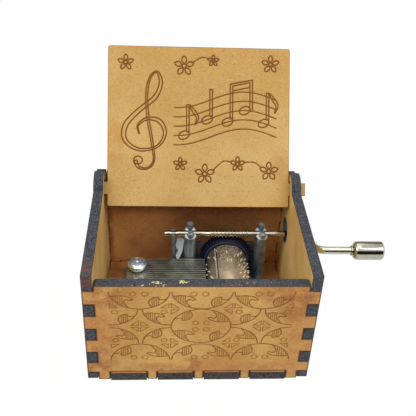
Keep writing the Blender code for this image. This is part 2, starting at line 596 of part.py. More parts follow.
def make_cylinder(brass, plastic):
    """The pinned cylinder and its front cap, both with their origin on the arbor's line."""
    centre = Vector((CYLINDER_X, 0, CYLINDER_Z))
    inside = CYLINDER_RADIUS - CYLINDER_WALL
    profile = [(CYLINDER_FRONT, inside), (CYLINDER_FRONT, CYLINDER_RADIUS), (CYLINDER_REAR, CYLINDER_RADIUS),
               (CYLINDER_REAR, inside), (CYLINDER_FRONT, inside)]
    drum = turned("tune_cylinder", profile, centre, "Y", CYLINDER_SIDES, origin=centre)
    pins = bmesh.new()
    count = NOTE_COUNT * PINS_PER_NOTE
    golden = math.pi * (3 - math.sqrt(5))
    low = CYLINDER_RADIUS * math.cos(math.pi / CYLINDER_SIDES) - PIN_WIDTH / 2
    for k in range(count):
        y = note_middle(k * 7 % NOTE_COUNT)
        if CYLINDER_FRONT + PIN_WIDTH < y < CYLINDER_REAR - PIN_WIDTH:
            half = PIN_WIDTH / 2
            made = bmesh.ops.create_cube(pins, size=1.0)["verts"]
            size = Vector((PIN_WIDTH, PIN_WIDTH, CYLINDER_RADIUS + PIN_HEIGHT - low))
            bmesh.ops.scale(pins, vec=size, verts=made)
            bmesh.ops.translate(pins, vec=(0, y, low + size.z / 2), verts=made)
            bmesh.ops.rotate(pins, cent=(0, 0, 0), matrix=Matrix.Rotation(k * golden, 3, "Y"), verts=made)
            bmesh.ops.translate(pins, vec=centre, verts=made)
    combine(drum, [solid("pins", pins)], "UNION")
    finish(drum, brass)

    bore = ARBOR_RADIUS + ARBOR_GAP
    rim = CYLINDER_FRONT - CAP_GAP
    hub_end = CYLINDER_FRONT + HUB_LENGTH
    profile = [(CAP_FRONT, bore), (CAP_FRONT, CAP_RADIUS), (rim, CAP_RADIUS), (rim, HUB_RADIUS),
               (hub_end, HUB_RADIUS), (hub_end, bore), (CAP_FRONT, bore)]
    finish(turned("cylinder_front_cap", profile, centre, "Y", origin=centre), plastic)


def make_arbor(front_end, look, washer_look):
    """The fixed steel pin that the cylinder turns on, and the washer in front of the cap."""
    bore = ARBOR_RADIUS + ARBOR_GAP
    back = WASHER_FRONT + WASHER_THICKNESS
    profile = [(WASHER_FRONT, bore), (WASHER_FRONT, WASHER_RADIUS), (back, WASHER_RADIUS), (back, bore),
               (WASHER_FRONT, bore)]
    finish(turned("arbor_washer", profile, Vector((CYLINDER_X, 0, CYLINDER_Z)), "Y"), washer_look)
    rear_end = BED_REAR - SEAT_GAP
    profile = [(front_end, 0), (front_end, ARBOR_RADIUS), (rear_end, ARBOR_RADIUS), (rear_end, 0)]
    finish(turned("cylinder_arbor", profile, Vector((CYLINDER_X, 0, CYLINDER_Z)), "Y"), look)


def worm_thread_x(turn):
    """Where the thread's crest crosses a turn angle of the wire, counted in whole turns."""
    return WORM_START + GEAR_CLEARANCE + WORM_PITCH * (turn + 0.2)


def make_wheel(look):
    """The worm wheel: slanted teeth for the worm's thread, a raised rim and the cylinder's rear plug."""
    centre = Vector((CYLINDER_X, 0, CYLINDER_Z))
    down = math.atan2(-ARM.y, -ARM.z) / (2 * math.pi)
    thread = worm_thread_x(down % 1)
    offset = (thread - CYLINDER_X) % WORM_PITCH
    phase = offset / PITCH_RADIUS
    slant = WORM_PITCH / (math.pi * (WORM_ROOT_RADIUS + WORM_CREST_RADIUS))
    twist = slant * WHEEL_WIDTH / PITCH_RADIUS
    step = 2 * math.pi / WHEEL_TEETH
    root = WHEEL_RADIUS - TOOTH_DEPTH
    corners = [(-0.31, WHEEL_RADIUS), (-0.18, root), (0.18, root), (0.31, WHEEL_RADIUS)]
    bore = ARBOR_RADIUS + ARBOR_GAP
    bm = bmesh.new()
    rings = []
    for y, turn in ((WHEEL_FRONT, -twist / 2), (WHEEL_FRONT + WHEEL_WIDTH, twist / 2)):
        ring = []
        for tooth in range(WHEEL_TEETH):
            for share, radius in corners:
                angle = phase + turn + (tooth + share) * step
                ring.append(bm.verts.new((radius * math.sin(angle), y, radius * math.cos(angle))))
        rings.append(ring)
    for k in range(len(rings[0])):
        n = (k + 1) % len(rings[0])
        bm.faces.new((rings[0][k], rings[0][n], rings[1][n], rings[1][k]))
    bm.faces.new(rings[0])
    bm.faces.new(rings[1])
    bmesh.ops.translate(bm, verts=bm.verts, vec=centre)
    wheel = solid("worm_wheel", bm, centre)
    front = WHEEL_FRONT - WHEEL_RIM_HEIGHT
    hub_end = CYLINDER_REAR - HUB_LENGTH
    profile = [(hub_end, 0), (hub_end, HUB_RADIUS), (front, HUB_RADIUS), (front, WHEEL_RIM_RADIUS),
               (WHEEL_FRONT + WHEEL_RIM_HEIGHT, WHEEL_RIM_RADIUS), (WHEEL_FRONT + WHEEL_RIM_HEIGHT, 0)]
    combine(wheel, [turned("rim", profile, centre, "Y", 32)], "UNION")
    hole = prism("wheel_bore", circle(CYLINDER_X, CYLINDER_Z, bore), "Y",
                 hub_end - BOARD, SHAFT_Y + BOARD)
    finish(combine(wheel, [hole], "DIFFERENCE"), look)


def wire_ring(bm, point, tangent, radius):
    """A ring of the wire, square to the tangent, which lies in the plane of the crank."""
    across = Vector((1, 0, 0)).cross(ARM)
    up = across.cross(tangent)
    ring = []
    for k in range(WIRE_SIDES):
        turn = 2 * math.pi * k / WIRE_SIDES
        ring.append(bm.verts.new(point + radius * (math.cos(turn) * up + math.sin(turn) * across)))
    return ring


def bridge(bm, first, second):
    """The band of faces between two rings of the wire."""
    for k in range(WIRE_SIDES):
        n = (k + 1) % WIRE_SIDES
        bm.faces.new((first[k], first[n], second[n], second[k]))


def add_worm(bm, before, after, point_at):
    """The rolled thread between two rings of the wire, a right hand helix along +X."""
    profile = [(0.0, WORM_ROOT_RADIUS), (0.12, WORM_CREST_RADIUS), (0.28, WORM_CREST_RADIUS),
               (0.40, WORM_ROOT_RADIUS)]
    steps = WORM_TURNS * WIRE_SIDES
    rows = []
    for i in range(steps + 1):
        turn = i / WIRE_SIDES
        base = WORM_START + GEAR_CLEARANCE + WORM_PITCH * turn
        rows.append([bm.verts.new(point_at(base + share * WORM_PITCH, turn, radius))
                     for share, radius in profile])
    for i in range(steps):
        for j in range(3):
            bm.faces.new((rows[i][j], rows[i + 1][j], rows[i + 1][j + 1], rows[i][j + 1]))
    last = steps - WIRE_SIDES
    for i in range(last):
        bm.faces.new((rows[i][3], rows[i + 1][3], rows[i + 1 + WIRE_SIDES][0], rows[i + WIRE_SIDES][0]))
    for k in range(WIRE_SIDES - 1):
        bm.faces.new((before[k], before[k + 1], rows[k + 1][0], rows[k][0]))
        i = last + k + 1
        bm.faces.new((rows[i][3], rows[i + 1][3], after[(k + 2) % WIRE_SIDES], after[k + 1]))
    end = WIRE_SIDES - 1
    bm.faces.new((before[end], before[0], rows[0][0], rows[0][3], rows[WIRE_SIDES][0], rows[end][0]))
    bm.faces.new((rows[last][3], rows[last + 1][3], after[1], after[0], rows[steps][3], rows[steps][0]))
    bm.faces.new(rows[0])
    bm.faces.new(rows[steps])


def make_crank(look):
    """One bent wire: bearing neck, worm, the straight run through the case, arm and handle."""
    axis = Vector((0, SHAFT_Y, SHAFT_Z))
    along = Vector((1, 0, 0))
    across = along.cross(ARM)
    bm = bmesh.new()

    def on_axis(x, turn, radius):
        angle = 2 * math.pi * turn
        return axis + along * x + radius * (math.cos(angle) * ARM + math.sin(angle) * across)

    neck_left = THIN_POST_X - THIN_POST_WIDTH / 2 - SHAFT_SLOT_GAP
    neck_right = THIN_POST_X + THIN_POST_WIDTH / 2 + SHAFT_SLOT_GAP
    worm_end = WORM_START + 2 * GEAR_CLEARANCE + WORM_PITCH * (WORM_TURNS + 0.4)
    before_worm = [(SHAFT_LEFT_END, 0.8 * SHAFT_RADIUS), (SHAFT_LEFT_END + 0.2 * SHAFT_RADIUS, SHAFT_RADIUS),
                   (neck_left, SHAFT_RADIUS), (neck_left, NECK_RADIUS), (neck_right, NECK_RADIUS),
                   (neck_right, SHAFT_RADIUS), (WORM_START, SHAFT_RADIUS), (WORM_START, WORM_ROOT_RADIUS)]
    after_worm = [(worm_end, WORM_ROOT_RADIUS), (worm_end, SHAFT_RADIUS), (HALF_WIDTH, SHAFT_RADIUS),
                  (HALF_WIDTH, HANDLE_WIRE_RADIUS)]
    rings = [wire_ring(bm, axis + along * x, along, radius) for x, radius in before_worm]
    bm.faces.new(rings[0])
    for first, second in zip(rings, rings[1:]):
        bridge(bm, first, second)
    rest = [wire_ring(bm, axis + along * x, along, radius) for x, radius in after_worm]
    add_worm(bm, rings[-1], rest[0], on_axis)

    bends = 6
    first_bend = axis + along * (ARM_X - BEND_RADIUS) + ARM * BEND_RADIUS
    second_bend = axis + along * (ARM_X + BEND_RADIUS) + ARM * (ARM_LENGTH - BEND_RADIUS)
    for k in range(bends + 1):
        turn = math.radians(90 * k / bends)
        point = first_bend + BEND_RADIUS * (math.sin(turn) * along - math.cos(turn) * ARM)
        tangent = math.cos(turn) * along + math.sin(turn) * ARM
        rest.append(wire_ring(bm, point, tangent, HANDLE_WIRE_RADIUS))
    for k in range(bends + 1):
        turn = math.radians(90 * k / bends)
        point = second_bend - BEND_RADIUS * (math.cos(turn) * along - math.sin(turn) * ARM)
        tangent = math.sin(turn) * along + math.cos(turn) * ARM
        rest.append(wire_ring(bm, point, tangent, HANDLE_WIRE_RADIUS))
    wire_end = KNOB_START + KNOB_LENGTH - KNOB_END_WALL - SEAT_GAP
    rest.append(wire_ring(bm, axis + along * wire_end + ARM * ARM_LENGTH, along, HANDLE_WIRE_RADIUS))
    for first, second in zip(rest, rest[1:]):
        bridge(bm, first, second)
    bm.faces.new(rest[-1])
    finish(solid("crank_shaft", bm, axis), look)


def make_knob(look, collar_look):
    """The turned knob that spins on the end of the wire, and the ring that it runs against."""
    axis = Vector((0, SHAFT_Y, SHAFT_Z)) + ARM * ARM_LENGTH
    bore = HANDLE_WIRE_RADIUS + KNOB_BORE_GAP
    end = KNOB_START + KNOB_LENGTH
    floor = end - KNOB_END_WALL
    profile = [(floor, 0), (floor, bore), (KNOB_START, bore), (KNOB_START, KNOB_NECK_RADIUS)]
    rise = KNOB_RADIUS - KNOB_NECK_RADIUS
    for k in range(1, 6):
        turn = math.radians(90 * k / 5)
        profile.append((KNOB_START + KNOB_SHOULDER * (1 - math.cos(turn)),
                        KNOB_NECK_RADIUS + rise * math.sin(turn)))
    for k in range(6):
        turn = math.radians(90 * k / 5)
        profile.append((end - KNOB_EDGE * (1 - math.sin(turn)),
                        KNOB_RADIUS - KNOB_EDGE * (1 - math.cos(turn))))
    profile.append((end, 0))
    finish(turned("crank_knob", profile, axis, "X", origin=axis), look)

    inside = HANDLE_WIRE_RADIUS + COLLAR_GAP
    back = KNOB_START - SEAT_GAP
    front = back - COLLAR_WIDTH
    profile = [(front, inside), (front, COLLAR_RADIUS), (back, COLLAR_RADIUS), (back, inside)]
    profile.append(profile[0])
    finish(turned("knob_collar", profile, axis, "X", origin=axis), collar_look)


def build():
    for item in list(bpy.data.objects):
        bpy.data.objects.remove(item)

    def board_look(name):
        return material(name + "_board", (0.46, 0.25, 0.10), 0.75)

    make_case(board_look)
    make_lid(material("lid_board", (0.60, 0.38, 0.17), 0.7))
    front_end = make_frame(material("frame_zinc", (0.36, 0.39, 0.41), 0.45, 0.9))
    make_comb(material("comb_steel", (0.35, 0.35, 0.31), 0.35, 1.0))
    make_comb_screws(material("screw_zinc", (0.70, 0.72, 0.74), 0.3, 1.0))
    make_base_screws(material("base_screw_steel", (0.55, 0.56, 0.58), 0.35, 1.0))
    make_cylinder(material("cylinder_steel", (0.62, 0.58, 0.50), 0.28, 1.0),
                  material("cap_plastic", (0.03, 0.03, 0.035), 0.5))
    make_arbor(front_end, material("arbor_steel", (0.60, 0.60, 0.60), 0.3, 1.0),
               material("washer_brass", (0.72, 0.55, 0.25), 0.35, 1.0))
    make_wheel(material("wheel_plastic", (0.015, 0.018, 0.035), 0.4))
    make_crank(material("crank_chrome", (0.78, 0.78, 0.76), 0.12, 1.0))
    make_knob(material("knob_chrome", (0.80, 0.80, 0.78), 0.1, 1.0),
              material("collar_steel", (0.60, 0.60, 0.60), 0.3, 1.0))


build()
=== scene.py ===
import json
import math

import bmesh
import bpy
import numpy as np
from mathutils import Matrix, Vector


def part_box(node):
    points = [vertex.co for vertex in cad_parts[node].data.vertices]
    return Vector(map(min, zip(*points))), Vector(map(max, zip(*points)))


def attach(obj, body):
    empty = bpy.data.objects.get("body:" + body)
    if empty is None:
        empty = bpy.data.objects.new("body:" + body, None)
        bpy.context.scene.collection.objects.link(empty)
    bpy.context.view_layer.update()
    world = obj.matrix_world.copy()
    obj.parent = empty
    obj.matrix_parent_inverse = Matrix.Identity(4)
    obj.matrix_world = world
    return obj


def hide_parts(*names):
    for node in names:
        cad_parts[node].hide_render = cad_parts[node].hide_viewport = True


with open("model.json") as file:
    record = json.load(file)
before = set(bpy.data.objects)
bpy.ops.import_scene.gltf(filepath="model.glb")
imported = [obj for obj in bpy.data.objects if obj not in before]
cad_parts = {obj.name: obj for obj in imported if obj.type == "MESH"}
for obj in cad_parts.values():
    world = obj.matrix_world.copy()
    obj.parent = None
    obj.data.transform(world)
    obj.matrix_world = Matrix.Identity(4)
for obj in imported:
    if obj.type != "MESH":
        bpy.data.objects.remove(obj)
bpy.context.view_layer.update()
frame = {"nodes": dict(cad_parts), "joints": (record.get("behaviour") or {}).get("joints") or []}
MM = 0.001


# The case: five boards laser cut from 3 mm fibreboard, pushed together at finger joints and glued.
# The laser leaves the cut edges charred blue-black and a thin brown scorch round every face.

class Signal:
    """A socket in a material. Arithmetic on it adds Math nodes, so a pattern reads as a formula."""

    def __init__(self, tree, socket=None):
        self.tree = tree
        self.socket = socket

    def node(self, kind, sockets=None, output=0, **settings):
        """Adds a node with its settings, feeds its sockets with values or signals, gives an output."""
        made = self.tree.nodes.new(kind)
        for key, value in settings.items():
            setattr(made, key, value)
        for key, value in (sockets or {}).items():
            if isinstance(value, Signal):
                self.tree.links.new(value.socket, made.inputs[key])
            else:
                made.inputs[key].default_value = value
        return Signal(self.tree, made.outputs[output])

    def math(self, operation, *others):
        """A Math node whose first input is this signal."""
        return self.node("ShaderNodeMath", dict(enumerate((self, *others))), operation=operation)

    def __add__(self, other):
        return self.math("ADD", other)

    def __sub__(self, other):
        return self.math("SUBTRACT", other)

    def __mul__(self, other):
        return self.math("MULTIPLY", other)

    def __rsub__(self, other):
        return self * -1 + other

    def __gt__(self, other):
        return self.math("GREATER_THAN", other)

    __radd__ = __add__
    __rmul__ = __mul__

    def vector(self, operation, other, output=0):
        """A vector operation on this place signal and another place."""
        return self.node("ShaderNodeVectorMath", {0: self, 1: other}, output, operation=operation)

    def step(self, low, high):
        """Rises smoothly from 0 at low to 1 at high."""
        ends = {"Value": self, "From Min": low, "From Max": high}
        return self.node("ShaderNodeMapRange", ends, interpolation_type="SMOOTHSTEP")

    def noise(self, scale, detail=2.0, stretch=(1, 1, 1)):
        """Noise about 0.5, from a place signal in metres."""
        place = self.vector("MULTIPLY", stretch)
        return self.node("ShaderNodeTexNoise", {"Vector": place, "Scale": scale, "Detail": detail})

    def mix(self, first, second):
        """Goes from the first colour to the second as this signal goes from 0 to 1."""
        first, second = [end if isinstance(end, Signal) else tone(*end) for end in (first, second)]
        return self.node("ShaderNodeMix", {0: self, 6: first, 7: second}, 2, data_type="RGBA")

    def parts(self):
        """The x, y and z of a place signal."""
        return [self.node("ShaderNodeSeparateXYZ", {0: self}, axis) for axis in range(3)]


def tone(red, green, blue):
    """A colour as it is seen, from 0 to 255, turned into the light that it stands for."""
    seen = [part / 255 for part in (red, green, blue)]
    return (*[part / 12.92 if part < 0.04 else ((part + 0.055) / 1.055) ** 2.4 for part in seen], 1.0)


def new_look(name):
    """A material, its Principled shader and the place signal of the piece."""
    look = bpy.data.materials.new(name)
    look.use_nodes = True
    shader = look.node_tree.nodes["Principled BSDF"]
    place = Signal(look.node_tree).node("ShaderNodeTexCoord", output="Object")
    return look, shader, place


def feed(shader, **signals):
    """Links signals to the shader's sockets, or sets plain values on them."""
    for name, value in signals.items():
        socket = shader.inputs[name.replace("_", " ")]
        if isinstance(value, Signal):
            value.tree.links.new(value.socket, socket)
        else:
            socket.default_value = value


def spot(a, b, centre, reach):
    """1 at a centre given in millimetres along two axes, fading to 0 at the reach."""
    u = (a - centre[0] * MM) * (1 / (reach[0] * MM))
    v = (b - centre[1] * MM) * (1 / (reach[1] * MM))
    square = u * u + v * v
    return 1 - square.step(0.05, 1.0)


def fibreboard(name, light, dark, smudge, smudges, stains_and_painted_light=(), rubbed=(),
               char=((40, 44, 52), (66, 72, 80)), indoors=None):
    """Pressed fibreboard: felted fibres, soft blotches, scorch near the cuts and charred edges.
    Stains, and patches of painted light and shade, lie on the faces, and rubbed places on the charred
    edges. Indoors gives the axis and the level in millimetres past which the board is outside the box,
    where it is paler and clean."""
    look, shader, place = new_look(name)
    axes = dict(zip("xyz", place.parts()))
    blotch = place.noise(70, 3).step(0.36, 0.66)
    fibre = place.noise(1500, 3, (0.7, 1, 1.3))
    felt = place.noise(3100, 2).step(0.3, 0.7)
    fleck = place.noise(2300, 1).step(0.62, 0.72)
    pale = place.noise(1900, 1).step(0.66, 0.78)
    body = blotch.mix(light, dark)
    if indoors:
        axis_name, sign, level = indoors
        within = axes[axis_name] * sign > level * sign * MM
        body = within.mix(blotch.mix((212, 168, 102), (198, 150, 84)), body)
    ragged = place.noise(260, 4).step(0.3, 0.6)
    # Patches laid on the face. On the back wall and the floor most of them are painted light and shade.
    for plane, centre, reach, colour, strength in stains_and_painted_light:
        mask = spot(axes[plane[0]], axes[plane[1]], centre, reach)
        mask = mask if reach[0] > 15 else mask * ragged
        mask = mask * within if indoors else mask
        body = (mask * strength).mix(body, colour)
    body = (fibre.step(0.3, 0.7) * 0.24).mix(body, (0.5 * blotch).mix((230, 192, 128), light))
    body = (felt * 0.24).mix(body, (162, 116, 56))
    body = (fleck * 0.42).mix(body, (126, 80, 36))
    body = (pale * 0.34).mix(body, (240, 214, 160))
    cloud = place.noise(95, 4).step(0.42, 0.7) * place.noise(31, 2).step(0.46, 0.62)
    cloud = cloud * (within * 0.7 + 0.3) if indoors else cloud
    body = (cloud * smudges).mix(body, smudge)
    burn = place.node("ShaderNodeAttribute", output="Fac", attribute_name="burn")
    heat = burn + (place.noise(700, 3) - 0.5) * 0.22 * burn.step(0.02, 0.3)
    body = (heat.step(0.02, 0.16) * 0.5).mix(body, (188, 126, 48))
    body = heat.step(0.1, 0.4).mix(body, (118, 70, 12))
    soot = place.noise(900, 3).step(0.3, 0.7).mix(*char)
    soot = (place.noise(3400, 2).step(0.5, 0.68) * 0.75).mix(soot, (112, 112, 110))
    soot = (place.noise(2900, 2).step(0.42, 0.3) * 0.6).mix(soot, (16, 20, 34))
    grit = (place.noise(2600, 4) - 0.5) * 2.6 + (place.noise(700, 2) - 0.5) * 2.2
    for plane, centre, reach, colour, strength, bite, soft in rubbed:
        mask = (spot(axes[plane[0]], axes[plane[1]], centre, reach) + grit).step(bite, bite + soft)
        soot = (mask * strength).mix(soot, colour)
    body = heat.step(0.5, 0.85).mix(body, soot)
    feed(shader, Base_Color=body, Roughness=0.62 + heat.step(0.4, 0.9) * 0.22)
    height = fibre * 0.5 + place.noise(420, 3) * 0.5
    bump = place.node("ShaderNodeBump", {"Strength": 0.35, "Distance": 0.00012, "Height": height})
    feed(shader, Normal=bump, Specular_IOR_Level=0.3)
    return look


EASED = 0.15                        # how far a board's edges are rounded
RIM = 0.14                          # how far the scorch reaches at full strength
SCORCH = 0.3                        # and how much farther it fades
CASE_RIM_HEAT = 0.36
LID_RIM_HEAT = 0.16


def board_copy(node, rim_heat=1.0):
    """A CAD board merged into whole faces, its edges eased, and its distance from a cut as burn."""
    bm = bmesh.new()
    bm.from_mesh(frame["nodes"][node].data)
    bmesh.ops.remove_doubles(bm, verts=bm.verts, dist=2e-6)
    bmesh.ops.dissolve_limit(bm, angle_limit=0.02, verts=bm.verts, edges=bm.edges)
    bm.normal_update()
    normal = max(bm.faces, key=lambda face: face.calc_area()).normal.copy()
    burn = bm.verts.layers.float.new("burn")

    def is_side(face):
        return abs(face.normal.dot(normal)) > 0.99

    rims = [edge for edge in bm.edges if len(edge.link_faces) == 2
            and is_side(edge.link_faces[0]) != is_side(edge.link_faces[1])]
    bmesh.ops.bevel(bm, geom=rims, offset=EASED * MM, segments=3, affect="EDGES", profile=0.5)
    bm.normal_update()
    for vert in bm.verts:
        vert[burn] = min(1.0, 1.6 - 1.2 * abs(vert.normal.dot(normal)))
    for sign in (-1, 1):
        side = [face for face in bm.faces if face.normal.dot(normal) * sign > 0.999]
        for face in side:
            for vert in face.verts:
                vert[burn] = rim_heat
        for width, heat in ((RIM, 0.3 * rim_heat), (SCORCH, 0.0)):
            bmesh.ops.inset_region(bm, faces=side, thickness=width * MM, use_even_offset=True)
            for face in side:
                for vert in face.verts:
                    vert[burn] = heat
    return bm, normal


def make(name, bm, look):
    """Makes the finished mesh an object with its material."""
    mesh = bpy.data.meshes.new(name)
    bm.to_mesh(mesh)
    bm.free()
    mesh.materials.append(look)
    piece = bpy.data.objects.new(name, mesh)
    bpy.context.scene.collection.objects.link(piece)
    return piece


def settle(name, bm, look, body, node):
    """Makes the finished mesh a piece of the box, in the CAD node's place and body."""
    bmesh.ops.recalc_face_normals(bm, faces=bm.faces)
    piece = make(name, bm, look)
    piece.data.shade_smooth()
    piece.data.set_sharp_from_angle(angle=math.radians(35))
    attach(piece, body)
    if node:
        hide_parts(node)
    return piece


side_light = (236, 202, 130)
side_dark = (222, 182, 108)
side_marks = {"left": [("yz", (-23, 36), (8, 6), (128, 66, 46), 0.6, 0.5, 0.9)], "right": []}
for side, rubbed in side_marks.items():
    node = f"{side}_side_panel"
    look = fibreboard(f"{side}_side_board", side_light, side_dark, (176, 104, 52), 0.4, (), rubbed)
    settle(f"{side}_side", board_copy(node, CASE_RIM_HEAT)[0], look, "case", node)
# Painted light and shade on the inside of the back wall: painted shade under the lid, painted shade in the
# top left corner, a painted pool of light low on the left, a painted shadow band along the lid's lower
# edge, and painted shade down the left corner.
wall_painted_light_and_shade = [("xz", (9, 26), (24, 16), (104, 62, 38), 0.62),
               ("xz", (-24, 30), (7, 8), (120, 66, 36), 0.4),
               ("xz", (-24, 12), (16, 16), (255, 196, 132), 0.5),
               ("xz", (0, 28.5), (70, 6), (104, 56, 34), 0.8),
               ("xz", (-30, 14), (3.5, 22), (112, 60, 34), 0.8)]
look = fibreboard("back_board", (240, 170, 106), (214, 144, 86), (140, 80, 44), 0.5,
                  wall_painted_light_and_shade, indoors=("y", -1, 25.2))
settle("back", board_copy("back_panel", CASE_RIM_HEAT)[0], look, "case", "back_panel")
# A darker patch over the right of the floor, a painted pool of light in the back left corner, and painted
# shade right in that corner.
floor_patches_and_painted_light = [("xy", (14, 6), (30, 24), (140, 84, 46), 0.7),
                ("xy", (-27, 19), (6, 8), (255, 214, 150), 0.9),
                ("xy", (-25.5, 21), (4, 4), (120, 58, 28), 0.8)]
look = fibreboard("base_board", (246, 186, 122), (210, 146, 86), (136, 78, 40), 0.7,
                  floor_patches_and_painted_light, char=((38, 36, 36), (66, 63, 60)), indoors=("z", 1, 1.5))
settle("base", board_copy("base_panel", CASE_RIM_HEAT)[0], look, "case", "base_panel")

glue, shader, place = new_look("sooty_glue")
feed(shader, Base_Color=place.noise(1600, 3).mix((34, 28, 24), (74, 52, 34)), Roughness=0.6)


def stack(bm, rings, joined=False):
    """A shell through rings of equal count, in millimetres, with its ends capped or joined."""
    made = [[bm.verts.new(Vector(point) * MM) for point in ring] for ring in rings]
    for low, high in zip(made, made[1:] + (made[:1] if joined else [])):
        for k in range(len(low)):
            n = (k + 1) % len(low)
            bm.faces.new((low[k], low[n], high[n], high[k]))
    if not joined:
        bm.faces.new(made[0][::-1])
        bm.faces.new(made[-1])
    return made


def slab(bm, outline, low, high, along="Z"):
    """A prism of an outline in millimetres along Y or Z."""
    stack(bm, [[(a, b, level) if along == "Z" else (a, level, b) for a, b in outline]
               for level in (low, high)])


def box(bm, low, high):
    """A box between two corners in millimetres."""
    outline = [(low[0], low[1]), (high[0], low[1]), (high[0], high[1]), (low[0], high[1])]
    slab(bm, outline, low[2], high[2])


BOARD = 3.0
HALF_WIDTH = 32.0
HALF_DEPTH = 26.7
TAB = 10.3
TAB_STEP = 13.45
KERF = 0.15
bm = bmesh.new()
for sign in (-1, 1):
    for count, face, along in ((4, HALF_DEPTH, "x"), (3, HALF_WIDTH, "y")):
        near, far = sorted((sign * (face - BOARD + KERF), sign * (face - 0.35)))
        for number in range(count):
            low = (number - (count - 1) / 2) * TAB_STEP - TAB / 2
            high = low + TAB
            for first, last, bottom, top in ((low - KERF, low, 0.1, BOARD),
                                             (high, high + KERF, 0.1, BOARD),
                                             (low, high, BOARD, BOARD + KERF)):
                if along == "x":
                    box(bm, (first, near, bottom), (last, far, top))
                else:
                    box(bm, (near, first, bottom), (far, last, top))
lines = settle("glue_in_the_kerfs", bm, glue, "case", None)


# The front board has a lattice of ovals, curling leaves and crossed lozenges drawn by the laser as
# fine brown grooves. It is the same board as the others, scorched more at its ends.

def grooves(across, up, strokes, reach):
    """How deep each point of a grid lies in the nearest stroke: 1 on its line, 0 from reach on."""
    depth = np.zeros((len(up), len(across)))
    for stroke in strokes:
        for (x0, y0), (x1, y1) in zip(stroke, stroke[1:]):
            i0, i1 = np.searchsorted(across, (min(x0, x1) - reach, max(x0, x1) + reach))
            j0, j1 = np.searchsorted(up, (min(y0, y1) - reach, max(y0, y1) + reach))
            if i0 == i1 or j0 == j1:
                continue
            px = across[None, i0:i1] - x0
            py = up[j0:j1, None] - y0
            dx = x1 - x0
            dy = y1 - y0
            share = np.clip((px * dx + py * dy) / max(dx * dx + dy * dy, 1e-12), 0, 1)
            near = np.hypot(px - share * dx, py - share * dy)
            ease = np.clip(1.35 * (1 - near / reach), 0, 1)
            ease = ease * ease * (3 - 2 * ease)
            window = depth[j0:j1, i0:i1]
            np.maximum(window, ease, out=window)
    return depth


GROOVE_DEPTH = 0.25
EAST = Vector((1, 0, 0))


def engrave(bm, facing, origin, up, spans, cell, lines, reach, heat):
    """Puts a fine grid into the middle of a board's face and presses its weighted strokes into it."""
    burn = bm.verts.layers.float["burn"]
    side = [face for face in bm.faces if face.normal.dot(facing) > 0.999
            and max(vert[burn] for vert in face.verts) == 0]
    bmesh.ops.delete(bm, geom=side, context="FACES_ONLY")
    loose = [edge for edge in bm.edges if edge.is_wire]
    bmesh.ops.delete(bm, geom=loose, context="EDGES")
    inner = [edge for edge in bm.edges if edge.is_boundary]
    across = np.linspace(*spans[0], round((spans[0][1] - spans[0][0]) / cell) + 1)
    upward = np.linspace(*spans[1], round((spans[1][1] - spans[1][0]) / cell) + 1)
    pressed = np.maximum.reduce([grooves(across, upward, strokes, reach) * weight
                                 for strokes, weight in lines])
    rows = []
    for v, line in zip(upward, pressed):
        row = []
        for u, deep in zip(across, line):
            made = bm.verts.new(origin + (EAST * u + up * v - facing * deep * GROOVE_DEPTH) * MM)
            made[burn] = heat * deep
            row.append(made)
        rows.append(row)
    for low, high in zip(rows, rows[1:]):
        for k in range(len(low) - 1):
            bm.faces.new((low[k], low[k + 1], high[k + 1], high[k]))
    ring = rows[0] + [row[-1] for row in rows[1:]] + rows[-1][-2::-1] + [row[0] for row in rows[-2:0:-1]]
    rim = [bm.edges.get((first, second)) for first, second in zip(ring, ring[1:] + ring[:1])]
    bmesh.ops.triangle_fill(bm, edges=inner + rim, use_beauty=True, normal=facing)


def oval(cx, cy, half_width, half_height, start=0, end=360, count=36):
    """An arc of an oval between two angles in degrees, in millimetres."""
    turns = [math.radians(start + (end - start) * k / count) for k in range(count + 1)]
    return [(cx + half_width * math.cos(t), cy + half_height * math.sin(t)) for t in turns]


def flowing(points, closed=False):
    """A smooth line through the points."""
    if closed:
        points = [points[-1], *points, points[0], points[1]]
    else:
        points = [points[0], *points, points[-1]]
    line = []
    for a, b, c, d in zip(points, points[1:], points[2:], points[3:]):
        for k in range(8):
            t = k / 8
            line.append(tuple(0.5 * (2 * q + (r - p) * t + (2 * p - 5 * q + 4 * r - s) * t * t
                                     + (3 * q - p - 3 * r + s) * t ** 3)
                              for p, q, r, s in zip(a, b, c, d)))
    line.append(points[-2])
    return line


CURLED_LEAF = [(0.95, 0.31), (0.85, 0.27), (0.65, 0.25), (0.45, 0.29), (0.30, 0.37), (0.22, 0.48),
               (0.31, 0.51), (0.42, 0.47), (0.50, 0.54), (0.50, 0.68), (0.44, 0.80), (0.36, 0.93)]
CURLED_RIBS = [(0.86, 0.27), (0.78, 0.26), (0.71, 0.25), (0.63, 0.25), (0.56, 0.26)]
ROUND_LEAF = [(0.40, 0.91), (0.33, 0.76), (0.31, 0.60), (0.36, 0.46), (0.48, 0.36), (0.62, 0.33),
              (0.65, 0.45), (0.77, 0.48), (0.90, 0.43)]
ROUND_RIBS = [(0.42, 0.40), (0.49, 0.36), (0.56, 0.34), (0.63, 0.37)]


def leaf(cx, cy, half_width, half_height, kind):
    """A ribbed leaf in one quarter of an oval. Signed half sizes choose the quarter."""
    outline, ribs = (CURLED_LEAF, CURLED_RIBS) if kind == "curled" else (ROUND_LEAF, ROUND_RIBS)
    strokes.append(flowing([(cx + half_width * u, cy + half_height * v) for u, v in outline]))
    for u, v in ribs:
        x = cx + half_width * u
        fine_strokes.append([(x, cy + half_height * v), (x, cy + half_height * math.sqrt(1 - u * u))])


def lozenge(cx, cy, triangles, rings=()):
    """The quarters of a crossed lozenge, each a small triangle or a ring."""
    for sx, sy in rings:
        fine_strokes.append(oval(cx + 1.55 * sx, cy + 1.15 * sy, 0.82, 0.66))
    for sx, sy in triangles:
        corner = (cx + 0.3 * sx, cy + 0.36 * sy)
        fine_strokes.append([corner, (cx + 2.45 * sx, corner[1]), (corner[0], cy + 1.95 * sy), corner])


